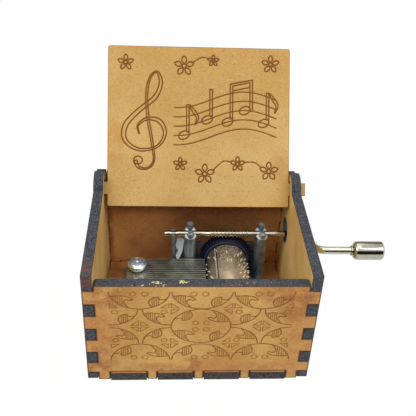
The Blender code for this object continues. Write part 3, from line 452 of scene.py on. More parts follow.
strokes = []
fine_strokes = []
COLUMN = 16.8
TOP_ROW = 34.0
MIDDLE_ROW = 21.15
LOW_ROW = 7.5
SHOULDER = 6.5                      # from the middle row to the centres of the small arcs
for column in (-COLUMN, 0, COLUMN):
    wide, tall = 8.15, 6.4
    strokes.append(oval(column, TOP_ROW, wide, tall, 184, 356))
    leaf(column, TOP_ROW, -wide, -tall, "curled")
    leaf(column, TOP_ROW, wide, -tall, "round")
    low = column * 1.02 + 0.35      # the low row is a little wider, and further right
    wide, tall = 8.35, 6.75
    strokes.append(oval(low, LOW_ROW, wide, tall, 4, 176))
    leaf(low, LOW_ROW, -wide, tall, "round")
    leaf(low, LOW_ROW, wide, tall, "curled")
    for shift in (-1.55, 1.6):
        ring = column + shift - (0.8 if column == 0 else 0.15)
        fine_strokes.append(oval(ring, TOP_ROW - 1.05, 0.85, 0.72))
        fine_strokes.append(oval(low + shift - 0.3, LOW_ROW + 1.45, 0.85, 0.72))

wide, tall = 8.2, 6.35
strokes.append(oval(0, MIDDLE_ROW, wide, tall))
leaf(0, MIDDLE_ROW, -wide, tall, "round")
leaf(0, MIDDLE_ROW, wide, tall, "curled")
leaf(0, MIDDLE_ROW, -wide, -tall, "curled")
leaf(0, MIDDLE_ROW, wide, -tall, "round")
for x in (-1.53, 1.53):
    for rise in (-1.25, 1.25):
        fine_strokes.append(oval(x, MIDDLE_ROW + rise, 0.82, 0.7))

wide, tall = 7.75, 6.0
for sign in (-1, 1):
    outer, inner = sign * 25.0, sign * 8.35
    for rise in (-1, 1):
        centre = MIDDLE_ROW + rise * SHOULDER
        right_arc = (270, 360) if rise > 0 else (0, 90)
        left_arc = (180, 270) if rise > 0 else (90, 180)
        outer_arc, inner_arc = (right_arc, left_arc) if sign < 0 else (left_arc, right_arc)
        strokes.append(oval(outer, centre, wide, tall, *outer_arc))
        strokes.append(oval(inner, centre, wide, tall, *inner_arc))
        outer_kind, inner_kind = ("round", "curled") if sign * rise < 0 else ("curled", "round")
        leaf(outer, centre, -sign * wide, -rise * tall, outer_kind)
        leaf(inner, centre, sign * wide, -rise * tall, inner_kind)
        lozenge(sign * 8.6, centre, [(1, rise), (-1, rise), (-sign, -rise)], [(sign, -rise)])
        lozenge(sign * 25.1, centre, [(-sign, rise)], [(-sign, -rise)])
    lozenge(sign * 16.85, MIDDLE_ROW, [(1, 1), (-1, 1), (1, -1), (-1, -1)])

reddish = (172, 96, 50)
front_stains = [("xz", (-25.5, 32.5), (10, 6), (158, 90, 42), 0.9),
                ("xz", (24, 33), (12, 5), (160, 88, 40), 0.8),
                ("xz", (29, 14), (6, 12), reddish, 0.6), ("xz", (-28, 17), (7, 12), reddish, 0.7),
                ("xz", (-30, 4), (6, 6), (146, 80, 40), 0.9), ("xz", (24, 4), (9, 4), reddish, 0.5),
                ("xz", (-2, 6), (5, 4), (160, 92, 42), 0.9), ("xz", (26, 29), (7, 8), (150, 84, 34), 0.9),
                ("xz", (-28, 8), (6, 7), (160, 92, 44), 0.8),
                ("xz", (-12, 4.5), (12, 3), (166, 100, 48), 0.7),
                ("xz", (14, 4.5), (10, 3), (166, 100, 48), 0.6)]
chips = (224, 206, 150)
front_chips = [("xy", (-11.8, -25.4), (2.6, 1.3), chips, 1.0, 0.85, 0.25),
               ("xy", (-5.1, -25.0), (2.2, 1.1), chips, 1.0, 0.9, 0.25),
               ("xy", (-13.5, -26.5), (13, 1.2), chips, 0.7, 1.15, 0.3),
               ("xy", (12, -25.4), (17, 2.0), (150, 142, 112), 0.6, 1.15, 0.3)]
look = fibreboard("front_board", (208, 162, 92), (192, 142, 74), (178, 108, 54), 0.35,
                  front_stains, front_chips)
bm = board_copy("front_panel")[0]
on_face = Vector((0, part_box("front_panel")[0].y, 0))
engrave(bm, Vector((0, -1, 0)), on_face, Vector((0, 0, 1)), ((-26.4, 26.4), (4.6, 34.5)), 0.15,
        [(strokes, 1.0), (fine_strokes, 0.82)], 0.27, 0.32)
settle("front", bm, look, "case", "front_panel")


# The lid is one more piece of the board, with two pegs that turn in the ears of the sides. The
# laser has drawn a staff of music with notes on its inner face.

def outlined(points, widths):
    """Both edges of a line that swells and thins, as a pen would leave it."""
    count = len(points) - 1
    edges = ([], [])
    for k, (x, y) in enumerate(points):
        before = points[max(k - 1, 0)]
        after = points[min(k + 1, count)]
        dx = after[0] - before[0]
        dy = after[1] - before[1]
        size = math.hypot(dx, dy) or 1
        half = np.interp(k / count, [step / (len(widths) - 1) for step in range(len(widths))], widths)
        edges[0].append((x - dy / size * half, y + dx / size * half))
        edges[1].append((x + dy / size * half, y - dx / size * half))
    return [edges[0] + edges[1][::-1] + edges[0][:1]]


def staff_height(x, line):
    """The height of one of the five lines of the waving staff."""
    return 22.0 + 2.6 * math.sin((x - 4) * 0.15) + (line - 2) * 2.9


def head(x, y):
    """A note's head: a tilted oval drawn as an outline."""
    turn = math.radians(24)
    return [[(x + u * math.cos(turn) - v * math.sin(turn), y + u * math.sin(turn) + v * math.cos(turn))
             for u, v in oval(0, 0, 1.75, 1.2)]]


def note(x, line, flag):
    """A note on the staff, with its stem up, and with a flag or none."""
    y = staff_height(x, line)
    side = x + 1.6
    top = y + 9.5
    lines = head(x, y) + [[(side, y + 0.5), (side, top), (side - 0.8, top), (side - 0.8, y + 1.1)]]
    if flag:
        tail = [(side, top), (side + 1.6, top - 2.2), (side + 2.6, top - 4.0), (side + 1.9, top - 6.2)]
        lines += outlined(flowing(tail), (0.1, 0.5, 0.35, 0.05))
    return lines


def flower(cx, cy, size):
    """Five pointed petals about a small ring."""
    lines = [oval(cx, cy, 0.34 * size, 0.34 * size)]
    for petal in range(5):
        turn = math.radians(90 + 72 * petal)
        half = [(0.4, 0.06), (0.8, 0.36), (1.25, 0.34)]
        shape = half + [(1.62, 0)] + [(u, -v) for u, v in half[::-1]]
        lines.append([(cx + size * (u * math.cos(turn) - v * math.sin(turn)),
                       cy + size * (u * math.sin(turn) + v * math.cos(turn))) for u, v in flowing(shape)])
    return lines


clef = [(-1.5, -6.9), (-0.9, -8.1), (0.5, -8.2), (1.4, -6.8), (1.1, -3.6), (0.5, 0.4), (0.2, 4.6),
        (0.7, 7.8), (1.8, 8.9), (2.4, 7.0), (1.5, 4.4), (-1.0, 2.0), (-3.0, -0.6), (-3.1, -3.2),
        (-1.0, -4.9), (1.8, -4.4), (3.1, -2.1), (2.3, 0.1), (0.4, 0.6), (-1.1, -0.6), (-0.9, -2.1)]
clef_widths = (0.6, 0.3, 0.2, 0.22, 0.3, 0.34, 0.3, 0.25, 0.22, 0.5, 0.6, 0.6, 0.7, 0.6, 0.4, 0.3,
               0.45, 0.6, 0.4, 0.2, 0.08)
strokes = outlined(flowing([(-16.5 + 2.0 * x, 20.6 + 1.75 * y) for x, y in clef]), clef_widths)
strokes.append(oval(-18.6, 8.7, 1.35, 1.2))
fine_strokes = [[(x / 2, staff_height(x / 2, line)) for x in range(-15, 50)] for line in range(5)]
for x, line, flag in ((-4.4, 1, True), (2.8, 2, False), (20.6, 1, True)):
    strokes += note(x, line, flag)
beam = []
for x, line in ((9.2, 1), (14.6, 2)):
    y = staff_height(x, line)
    strokes += head(x, y)
    beam.append((x + 1.6, y))
rise = max(y for x, y in beam) + 7.6
(first, low), (last, high) = beam
strokes.append([(first, low), (first, rise), (last, rise + 1.2), (last, high)])
strokes.append([(first - 0.8, low + 0.9), (first - 0.8, rise + 0.6), (last + 0.8, rise + 2.0),
                (last + 0.8, high)])
strokes.append([(first, rise - 1.5), (last, rise - 0.3)])
for cx, cy, size in ((-22.6, 39.0, 1.5), (-4.5, 38.2, 1.9), (4.6, 40.0, 1.1), (22.6, 39.2, 1.7),
                     (-5.5, 7.6, 1.3), (2.2, 4.6, 1.9), (12.5, 7.8, 1.4), (22.4, 5.6, 1.8)):
    strokes += flower(cx, cy, size)
for start, bend, end in (((4.6, 5.6), (8.0, 8.6), (10.6, 8.2)), ((14.4, 8.2), (17.6, 8.4), (20.0, 6.8)),
                         ((-2.0, 39.2), (1.0, 41.0), (3.2, 40.6))):
    fine_strokes.append(flowing([start, bend, end]))

golden = (190, 142, 68)
# The lid turns darker and more golden towards its top, and has small darker patches near its sides.
lid_patches = [("xz", (0, 78), (44, 34), golden, 0.75), ("xz", (-26, 50), (5, 8), (196, 128, 58), 0.6),
              ("xz", (26, 44), (4, 6), (190, 128, 60), 0.45), ("xz", (24, 72), (8, 5), (186, 138, 70), 0.4)]
look = fibreboard("lid_board", (210, 176, 110), (202, 162, 92), (188, 142, 76), 0.4, lid_patches)
bm, normal = board_copy("lid_panel", LID_RIM_HEAT)
facing = normal if normal.y < 0 else -normal
up = facing.cross(EAST)
up = up if up.z > 0 else -up
hinge = Vector(frame["joints"][0]["pos_m"])
engrave(bm, facing, hinge + facing * BOARD / 2 * MM, up, ((-26.4, 27.1), (-4.2, 42.7)), 0.175,
        [(strokes, 1.0), (fine_strokes, 0.85)], 0.31, 0.46)
settle("lid", bm, look, "lid", "lid_panel")


# The movement's bed is one zinc die casting: a plate with a block for the comb, two bearing walls
# and forked posts for the crank wire, whose prongs are peened over it. It is dull and blue-grey.

def soften(bm, width, steps=2):
    """Rounds the sharp edges of a mesh of closed shells."""
    bmesh.ops.recalc_face_normals(bm, faces=bm.faces)
    sharp = [edge for edge in bm.edges if len(edge.link_faces) == 2
             and edge.calc_face_angle(0) > math.radians(32)]
    bmesh.ops.bevel(bm, geom=sharp, offset=width * MM, segments=steps, affect="EDGES", profile=0.5,
                    clamp_overlap=True)


def circle(x, y, radius, level, sides=24):
    """The points of a level circle."""
    turns = [2 * math.pi * n / sides for n in range(sides)]
    return [(x + radius * math.cos(turn), y + radius * math.sin(turn), level) for turn in turns]


def metal(name, light, dark, roughness, spread=0.1, grain=900, stretch=(1, 1, 1), metallic=1.0,
          dent=0.00003):
    """Metal with soft patches of a darker tone, and a finish that varies with its grain."""
    look, shader, place = new_look(name)
    patch = place.noise(260, 4).step(0.35, 0.68)
    marks = place.noise(grain, 3, stretch)
    body = patch.mix(light, dark)
    body = (marks.step(0.52, 0.8) * 0.35).mix(body, (216, 214, 204))
    bump = place.node("ShaderNodeBump", {"Strength": 0.4, "Distance": dent, "Height": marks})
    feed(shader, Base_Color=body, Metallic=metallic, Normal=bump)
    feed(shader, Roughness=roughness + (marks - 0.5) * spread)
    return look, shader, place, body


zinc, shader, place, body = metal("cast_zinc", (164, 174, 180), (112, 130, 144), 0.4, 0.25,
                                  1300, (1, 1, 0.25))
# The casting turns white and loses its metal where this mark is high: rubbed metal on the peened caps, and
# painted highlight on the prong rims and on a patch on the web.
wear_and_highlight = place.node("ShaderNodeAttribute", output="Fac", attribute_name="wear_and_highlight")
feed(shader, Base_Color=wear_and_highlight.step(0.3, 0.8).mix(body, (238, 248, 255)), Metallic=0.8 - 0.8 * wear_and_highlight)

AXIS_X = 10.1                       # the cylinder's axis
AXIS_Z = 13.15
WIRE_Y = 13.9                       # the crank wire's axis
WIRE_Z = 22.65
COMB_LEFT = -22.1
COMB_FRONT = -6.34
COMB_BACK = 10.4
BED_LOW = 3.2
BED_TOP = 5.6
SUNK = 5.4                          # where the walls and posts start, inside the bed
POSTS = (-1.9, 21.2)
PLATE_X, PLATE_FRONT, PLATE_REAR = 21.5, -8.8, 15.9
bm = bmesh.new()
wear_and_highlight_at = bm.verts.layers.float.new("wear_and_highlight")
plate = []
for x, y, start in ((PLATE_X, PLATE_REAR, 0), (-PLATE_X, PLATE_REAR, 90),
                    (-PLATE_X, PLATE_FRONT, 180), (PLATE_X, PLATE_FRONT, 270)):
    plate += oval(x, y, 2.0, 2.0, start, start + 90, 6)
well = [(4.9, 11.7), (15.3, 11.7), (15.3, 15.9), (4.9, 15.9)]
walls = []
for outline in (plate, well):
    low, high = [[bm.verts.new(Vector((x, y, level)) * MM) for x, y in outline]
                 for level in (BED_LOW, BED_TOP)]
    for k in range(len(low)):
        n = (k + 1) % len(low)
        bm.faces.new((low[k], low[n], high[n], high[k]))
    walls.append((low, high))
for level in (0, 1):
    loops = []
    for wall in walls:
        ring = wall[level]
        loops += [bm.edges.get((first, second)) for first, second in zip(ring, ring[1:] + ring[:1])]
    bmesh.ops.triangle_fill(bm, edges=loops, use_beauty=True)
bmesh.ops.dissolve_limit(bm, angle_limit=0.01, verts=bm.verts, edges=bm.edges)

box(bm, (COMB_LEFT, COMB_FRONT, SUNK), (-14.7, COMB_BACK, 12.95))
box(bm, (POSTS[0], 16.0, SUNK), (POSTS[1], 17.7, 16.9))
front_wall = oval(AXIS_X, 11.9, 4.5, 4.5, 0, 180, 16) + [(5.6, SUNK), (14.6, SUNK)]
slab(bm, front_wall, -10.45, -8.85, "Y")
FORK = (-7.9, -6.7)
box(bm, (FORK[0], 11.9, SUNK), (FORK[1], 15.9, 21.8))
for low, high in ((11.95, 13.05), (14.75, 15.85)):
    box(bm, (FORK[0], low, 21.6), (FORK[1], high, 23.35))
box(bm, (-7.3, 14.3, SUNK), (POSTS[0], 15.7, 19.2))
soften(bm, 0.16)


def mark_wear_and_highlight(rings, amount):
    """Marks rings of the casting from 0 for the dull skin to 1 for white: rubbed metal on the peened caps,
    and a painted highlight on the prong rims and on the patch on the web.
    """
    for ring in rings:
        for vert in ring:
            vert[wear_and_highlight_at] = amount


HALF_POST = 1.85                    # a post is a flat oval, this far from its middle to its face
POST_REACH = 3.3                    # and this far to its end
SLOT = 1.15                         # half the fork's slot
PEEN = 23.3
# Full white is the painted highlight of the prong rims and the web patch; the lower value is the rubbing of
# the peened caps.
PAINTED_HIGHLIGHT, RUBBED = 1.0, 0.38
for x in POSTS:
    front_end = oval(x, WIRE_Y - POST_REACH + HALF_POST, HALF_POST, HALF_POST, 180, 360, 14)
    rear_end = oval(x, WIRE_Y + POST_REACH - HALF_POST, HALF_POST, HALF_POST, 0, 180, 14)
    stack(bm, [[(a, b, level) for a, b in front_end + rear_end] for level in (SUNK, 12, 21.5)])
    for side, end, tall in ((-1, front_end, 1.2), (1, rear_end, 2.1)):
        inner = WIRE_Y + side * SLOT
        prong = end + [(end[-1][0], inner), (end[0][0], inner)]
        y = WIRE_Y + side * 2.2
        levels = ((21.4, 1.0), (22.72, 1.0), (22.8, 0.995), (23.4, 0.74))
        made = stack(bm, [[(x + (a - x) * shrink, y + (b - y) * shrink, level) for a, b in prong]
                          for level, shrink in levels])
        # The rim at the top of each prong is painted white as a highlight.
        mark_wear_and_highlight(made[2:], PAINTED_HIGHLIGHT)
        peened = ((1.1, 22.9), (1.12, PEEN + tall - 0.45), (1.02, PEEN + tall - 0.12),
                  (0.7, PEEN + tall + 0.02), (0.25, PEEN + tall + 0.1))
        made = stack(bm, [circle(x, y, radius, level) for radius, level in peened])
        mark_wear_and_highlight(made[2:], RUBBED)
# A thin patch on the web between the fork and the post, painted white as a highlight.
painted_highlight_patch = [(-6.06, 20.4), (-4.0, 20.2), (-3.97, 18.7), (-4.3, 16.3), (-5.04, 14.5), (-5.69, 13.2),
         (-6.38, 14.1), (-6.35, 15.2), (-5.75, 15.8), (-6.04, 16.8), (-6.54, 18.1), (-6.18, 19.3)]
made = stack(bm, [[(a, y - (painted_highlight_patch[0][1] - b) * lean, b) for a, b in flowing(painted_highlight_patch, True)[:-1]]
                  for y, lean in ((14.6, 0), (14.25, 0.3))])
mark_wear_and_highlight(made, PAINTED_HIGHLIGHT)
settle("casting", bm, zinc, "case", "movement_frame")


# The comb is a hardened steel plate with eighteen teeth sawn into it, the long bass teeth at the
# rear with weights under their tips. Two pan head screws hold it down on its block.

def grow(points, sizes, tree_name, build):
    """Runs a geometry tree once over points and gives the plain mesh that comes out."""
    cloud = bpy.data.meshes.new(tree_name)
    cloud.from_pydata([entry["at"] for entry in points], [], [])
    for key in ("aim", "size"):
        layer = cloud.attributes.new(key, "FLOAT_VECTOR", "POINT")
        layer.data.foreach_set("vector", [part for entry in points for part in entry[key]])
    carrier = bpy.data.objects.new(tree_name, cloud)
    bpy.context.scene.collection.objects.link(carrier)
    tree = bpy.data.node_groups.new(tree_name, "GeometryNodeTree")
    tree.interface.new_socket("Places", in_out="INPUT", socket_type="NodeSocketGeometry")
    names = {}
    for key, value in sizes.items():
        kind = "NodeSocketMaterial" if isinstance(value, bpy.types.Material) else "NodeSocketFloat"
        names[key] = tree.interface.new_socket(key, in_out="INPUT", socket_type=kind).identifier
    tree.interface.new_socket("Pieces", in_out="OUTPUT", socket_type="NodeSocketGeometry")
    start = tree.nodes.new("NodeGroupInput")
    given = {key: Signal(tree, start.outputs[key]) for key in ("Places", *sizes)}
    base = Signal(tree)
    piece = build(base, given)
    aim, size = [base.node("GeometryNodeInputNamedAttribute", {"Name": key}, data_type="FLOAT_VECTOR")
                 for key in ("aim", "size")]
    turned = base.node("FunctionNodeAlignRotationToVector", {"Vector": aim}, axis="Z")
    copies = base.node("GeometryNodeInstanceOnPoints", {"Points": given["Places"],
                       "Instance": piece, "Rotation": turned, "Scale": size})
    real = base.node("GeometryNodeRealizeInstances", {"Geometry": copies})
    dressed = base.node("GeometryNodeSetMaterial", {"Geometry": real, "Material": given["Finish"]})
    end = tree.nodes.new("NodeGroupOutput")
    tree.links.new(dressed.socket, end.inputs["Pieces"])
    modifier = carrier.modifiers.new(tree_name, "NODES")
    modifier.node_group = tree
    for key, value in sizes.items():
        modifier[names[key]] = value
    bpy.context.view_layer.update()
    result = carrier.evaluated_get(bpy.context.evaluated_depsgraph_get())
    mesh = bpy.data.meshes.new_from_object(result)
    bpy.data.objects.remove(carrier)
    return mesh


COMB_TOP = 15.15
COMB_THICK = 0.8
PITCH = 0.93
TEETH = 18
BASS_TEETH = 9
comb_steel, shader, place, body = metal("comb_steel", (182, 183, 168), (140, 144, 134), 0.34,
                                        0.3, 2600, (0.12, 1, 1), 0.85, 0.00002)
x, y = place.parts()[:2]
dust = place.noise(420, 1).step(0.47, 0.56) * x.step(-0.0125, -0.0165)
crumb = place.noise(1700, 2).step(0.6, 0.66) * dust
phase = ((COMB_BACK * MM - y) * (1 / (PITCH * MM))).math("FRACT")
# Painted shade: the sides of the teeth and the slits between them are darkened.
cut = (phase - 0.5).math("ABSOLUTE").step(0.24, 0.32) * x.step(-0.0158, -0.0145)
body = (x.step(-0.0145, -0.0158) * 0.6).mix(body, (138, 139, 126))
body = (cut * 0.92).mix(body, (24, 24, 22))
feed(shader, Base_Color=(crumb * 0.8).mix(body, (226, 208, 150)))


def tooth_root(y):
    """Where a tooth at this Y leaves the plate."""
    return -15.8 + 0.3 * (COMB_BACK - y)


def one_tooth(base, given):
    """A tooth 1 mm long, with its root at the origin, stretched later to its length."""
    sides = {0: MM, 1: given["Tooth Width"], 2: given["Tooth Thickness"]}
    counts = {"Vertices X": 2, "Vertices Y": 2, "Vertices Z": 2}
    size = base.node("ShaderNodeCombineXYZ", sides)
    cube = base.node("GeometryNodeMeshCube", {"Size": size, **counts})
    return base.node("GeometryNodeTransform", {"Geometry": cube, "Translation": (MM / 2, 0, 0)})


TIP = 2.9                           # the teeth end here, under the cylinder's pins
teeth = []
for note in range(TEETH):
    y = COMB_BACK - (note + 0.5) * PITCH
    root = tooth_root(y) - 0.3
    teeth.append({"at": (root * MM, y * MM, (COMB_TOP - COMB_THICK / 2) * MM), "aim": (0, 0, 1),
                  "size": (TIP - root, 1, 1)})
tooth_sizes = {"Tooth Width": 0.68 * MM, "Tooth Thickness": COMB_THICK * MM, "Finish": comb_steel}
bm = bmesh.new()
bm.from_mesh(grow(teeth, tooth_sizes, "comb_teeth", one_tooth))
for note in range(BASS_TEETH):
    y = COMB_BACK - (note + 0.5) * PITCH
    length = 0.8 * (6 - 0.4 * note)
    height = 0.8 * (2.6 - 0.2 * note)
    box(bm, (0.5 - length, y - 0.28, COMB_TOP - COMB_THICK - height), (0.5, y + 0.28, COMB_TOP - 0.6))
for inset, low, high in ((0, COMB_THICK, 0), (0.25, 2.0, 0.5)):
    plate = [(COMB_LEFT, COMB_FRONT), (tooth_root(COMB_FRONT) - inset, COMB_FRONT),
             (tooth_root(COMB_BACK) - inset, COMB_BACK), (COMB_LEFT, COMB_BACK)]
    slab(bm, plate, COMB_TOP - low, COMB_TOP - high)
soften(bm, 0.07, 1)
settle("comb", bm, comb_steel, "case", "tuned_comb")

bright_zinc = metal("bright_zinc", (228, 236, 242), (190, 206, 218), 0.2, 0.1, 700, (1, 1, 1),
                    0.8, 0.000008)[0]


def recess(u, v, slot, edge, soft):
    """How deep a point of a head of radius 1 lies in its cross: 1 in an arm, 0 outside."""
    arm = min(max(abs(u) / 0.6, abs(v) / slot), max(abs(v) / 0.6, abs(u) / slot))
    return min(1, max(0, (edge - arm) / soft))


def screw_head(bm, x, y, seat, radius, height):
    """A domed head with a cross recess, as one net of rings from the recess down to the seat."""
    rings = []
    for k in range(30):
        share = (k + 0.4) / 29.4
        dome = height * (0.58 + 0.42 * math.sqrt(max(0, 1 - (share * 0.97) ** 2.4)))
        deep = 0.5 * height + 0.25 * radius * (0.6 - share)
        rings.append([(x + radius * u, y + radius * v, top - recess(u, v, 0.16, 1.12, 0.2) * deep)
                      for u, v, top in circle(0, 0, share, seat + dome, 72)])
    for share, level in ((1.02, 0.48), (1.02, 0.38), (0.95, 0.14), (0.88, 0.0), (0.45, 0.0)):
        rings.append(circle(x, y, radius * share, seat + level * height, 72))
    stack(bm, rings)


SCREW_X = -18.8
SHANK = 1.3
for node, y, height in (("comb_screw_rear", 5.8, 2.3), ("comb_screw_front", -3.3, 1.3)):
    bm = bmesh.new()
    screw_head(bm, SCREW_X, y, COMB_TOP + 0.2, 3.04, height)
    stack(bm, [circle(SCREW_X, y, SHANK, level) for level in (5.8, 15.5)])
    settle(node.replace("comb_screw", "screw_of_comb"), bm, bright_zinc, "case", node)


# Three countersunk steel screws come up through the base into the bed and hold the movement. They
# are cold formed, with a cross recess in a flat head that sits just inside the base's underside.

HEAD_RADIUS = 2.6
HEAD_LEVEL = 0.15
screw_steel = metal("screw_steel", (176, 178, 178), (130, 134, 138), 0.34, 0.2, 800)[0]
for number, (x, y) in enumerate(((-20.2, 14.6), (-20.2, -7.5), (20.2, -7.5)), 1):
    bm = bmesh.new()
    rings = []
    for share in (0.08, 0.2, 0.3, 0.4, 0.5, 0.56, 0.62, 0.7, 0.85):
        rings.append([(x + HEAD_RADIUS * u, y + HEAD_RADIUS * v,
                       level + 0.8 * recess(u, v, 0.13, 1.15, 0.3))
                      for u, v, level in circle(0, 0, share, HEAD_LEVEL, 48)])
    for radius, level in ((HEAD_RADIUS, HEAD_LEVEL), (2.7, 0.22), (2.7, 0.4), (SHANK, 1.85),
                          (SHANK, SUNK)):
        rings.append(circle(x, y, radius, level, 48))
    stack(bm, rings)
    settle(f"screw_of_base_{number}", bm, screw_steel, "case", f"base_screw_{number}")


# The cylinder is a rolled and nickelled steel tube with a seam, turned true and set with pins that
# pluck the comb. Black plugs close its ends, and it runs on a plain steel arbor.

TUBE_FRONT = -7.0
TUBE_REAR = 12.0
TUBE_RADIUS = 6.5
BORE_RADIUS = 4.1
EDGE = 0.15
SEAM, STRIP, PAINTED_SHADE_TURN = (math.radians(angle) for angle in (34.4, 38.4, 31))
tube_steel, shader, place, body = metal("satin_nickel", (248, 232, 202), (206, 190, 160),
                                        0.36, 0.3, 2400, (1, 0.35, 1), 0.82)
x, y, z = place.parts()
turn = (x - AXIS_X * MM).math("ARCTAN2", z - AXIS_Z * MM)
speck = place.noise(2300, 2).step(0.44, 0.58) * y.step(0.0015, 0.0065)
body = (speck * 0.85).mix(body, (96, 84, 64))
# Painted shade: the tube is darker grey on its left, from about 31 degrees past its top round to its
# bottom.
body = ((turn + PAINTED_SHADE_TURN).step(0.03, -0.03) * 0.4).mix(body, (120, 124, 122))
seam = 1 - (turn + SEAM).math("ABSOLUTE").step(0.012, 0.03)
body = (seam * 0.95).mix(body, (56, 48, 38))
# The row of dots beside the seam is real; their white, unmetallic finish is a painted highlight.
dots = (y * 7000).math("SINE").step(0.05, 0.5)
seam_dots_and_highlight = (1 - (turn + STRIP).math("ABSOLUTE").step(0.02, 0.032)) * dots
feed(shader, Base_Color=seam_dots_and_highlight.mix(body, (255, 252, 240)), Metallic=0.82 - seam_dots_and_highlight * 0.75)

SIDES = 160
turning_marks = [(-6.6 + 18.3 * k / 60, TUBE_RADIUS - 0.012 * (k % 2)) for k in range(61)]
profile = [(TUBE_FRONT, BORE_RADIUS), (TUBE_FRONT, TUBE_RADIUS - EDGE), (TUBE_FRONT + EDGE, TUBE_RADIUS),
           *turning_marks,
           (TUBE_REAR - EDGE, TUBE_RADIUS), (TUBE_REAR, TUBE_RADIUS - EDGE), (TUBE_REAR, BORE_RADIUS)]
bm = bmesh.new()
stack(bm, [[(AXIS_X + v, y, AXIS_Z + u) for u, v, y in circle(0, 0, radius, y, SIDES)]
           for y, radius in profile], True)

pin_steel = metal("pin_steel", (252, 246, 226), (232, 220, 188), 0.3, 0.1, 900, (1, 1, 1), 0.6)[0]


def one_pin(base, given):
    """A short tapered pin with its foot below the tube's skin."""
    sizes = {"Vertices": 10, "Radius Top": given["Pin Tip"], "Radius Bottom": given["Pin Radius"],
             "Depth": given["Pin Length"]}
    cone = base.node("GeometryNodeMeshCone", sizes)
    return base.node("GeometryNodeTransform", {"Geometry": cone, "Translation": (0, 0, -0.0003)})


PINS = 150
HIDDEN_ARC = (84, 276)              # the side that the photograph doesn't show, in degrees
PIN_GAP = 7
seen = [(0, -66), (0, -33), (2, -4), (3, -42), (0, 42), (4, 17), (3, 29), (6, -4), (6, 7), (4, 41),
        (9, 52), (7, 73), (12, 45), (10, 69), (11, -59), (1, 82), (4, 88), (5, 60), (7, -70), (13, 64),
        (2, 30), (1, 40), (5, 37), (3, 20), (8, 29), (7, 50), (9, 40), (10, 48), (13, 40), (8, 38),
        (5, 50), (12, 30), (4, -40), (12, -56), (2, 58), (15, 52), (14, 70), (16, 60), (11, 58)]
chance = np.random.default_rng(18)
places = list(seen)
while len(places) < PINS:
    track = int(chance.integers(0, TEETH))
    angle = float(chance.uniform(*HIDDEN_ARC))
    if all(other != track or abs(angle - place) > PIN_GAP for other, place in places):
        places.append((track, angle))
FOOT = TUBE_RADIUS - 0.05
pins = []
for track, angle in places:
    turn = math.radians(angle)
    aim = Vector((math.sin(turn), 0, math.cos(turn)))
    foot = Vector((AXIS_X, COMB_BACK - (track + 0.5) * PITCH, AXIS_Z)) + aim * FOOT
    pins.append({"at": foot * MM, "aim": aim, "size": (1, 1, 1)})
pin_sizes = {"Pin Radius": 0.27 * MM, "Pin Tip": 0.2 * MM, "Pin Length": 0.82 * MM, "Finish": pin_steel}
tube_faces = len(bm.faces)
bm.from_mesh(grow(pins, pin_sizes, "cylinder_pins", one_pin))
bm.faces.ensure_lookup_table()
for face in bm.faces[tube_faces:]:
    face.material_index = 1
tube = settle("pinned_tube", bm, tube_steel, "cylinder", "tune_cylinder")
tube.data.materials.append(pin_steel)


def dress(node, look):
    """Gives a CAD node a better material in all its slots."""
    piece = frame["nodes"][node]
    for slot in piece.material_slots:
        slot.material = look


black, shader, place = new_look("black_plastic")
feed(shader, Base_Color=place.noise(600, 3).mix((14, 16, 24), (30, 34, 46)), Roughness=0.42)
dress("cylinder_front_cap", black)
dress("cylinder_arbor", screw_steel)
washer_brass = metal("washer_brass", (196, 160, 92), (160, 124, 64), 0.3, 0.2, 900)[0]
dress("arbor_washer", washer_brass)

wheel_look, shader, place = new_look("wheel_plastic")
across = place.vector("SUBTRACT", (AXIS_X * MM, 0, AXIS_Z * MM)).vector("MULTIPLY", (1, 0, 1))
radius = across.vector("LENGTH", across, "Value")
# Painted highlight: a lighter blue ring about 7 mm from the axis stands in for the light on a ridge of the
# wheel's face.
rim = radius.step(6.85 * MM, 6.95 * MM) * (1 - radius.step(7.15 * MM, 7.3 * MM))
body = place.noise(500, 3).mix((4, 14, 36), (10, 26, 54))
body = (rim * 0.4).mix(body, (104, 124, 160))
feed(shader, Base_Color=body, Roughness=0.36 + place.noise(900, 2) * 0.2)
dress("worm_wheel", wheel_look)


# The crank is one bright nickelled steel wire: a thinned neck, a rolled worm thread, the run out
# through the side board, then two bends that make the arm and the handle.

nickel = metal("bright_nickel", (194, 192, 178), (180, 178, 162), 0.1, 0.06, 1200)[0]
ARM_TURN = math.radians(22)
ARM = Vector((0, -math.cos(ARM_TURN), math.sin(ARM_TURN)))
ACROSS = EAST.cross(ARM)
ARM_X = 35.5
ARM_LENGTH = 18.9
BEND = 3.0
WIRE_RADIUS = 1.15
ROOT_RADIUS = 0.95
THREAD_HEIGHT = 0.45
THREAD_START = 4.45
THREAD_TURNS = 10.4
THREAD_PITCH = 2 * math.pi * 8.25 / 44
SIDES = 40
rings = []


def wire_ring(centre, tangent, radius_at):
    """A ring of the wire. Its radius may change round it, for the thread."""
    up = ACROSS.cross(tangent)
    ring = []
    for k in range(SIDES):
        turn = 2 * math.pi * k / SIDES
        spoke = math.cos(turn) * up + math.sin(turn) * ACROSS
        ring.append(centre + spoke * radius_at(k / SIDES))
    rings.append(ring)


def plain(radius):
    """A radius that is the same all round."""
    return lambda turn: radius


def thread(x):
    """The worm's radius round the wire at this X."""
    def at(turn):
        share = (x - THREAD_START) / THREAD_PITCH - turn
        if share < 0 or share > THREAD_TURNS:
            return ROOT_RADIUS
        share %= 1
        rise = min(1, max(0, share / 0.12)) * min(1, max(0, (0.40 - share) / 0.12))
        return ROOT_RADIUS + THREAD_HEIGHT * rise * rise * (3 - 2 * rise)
    return at


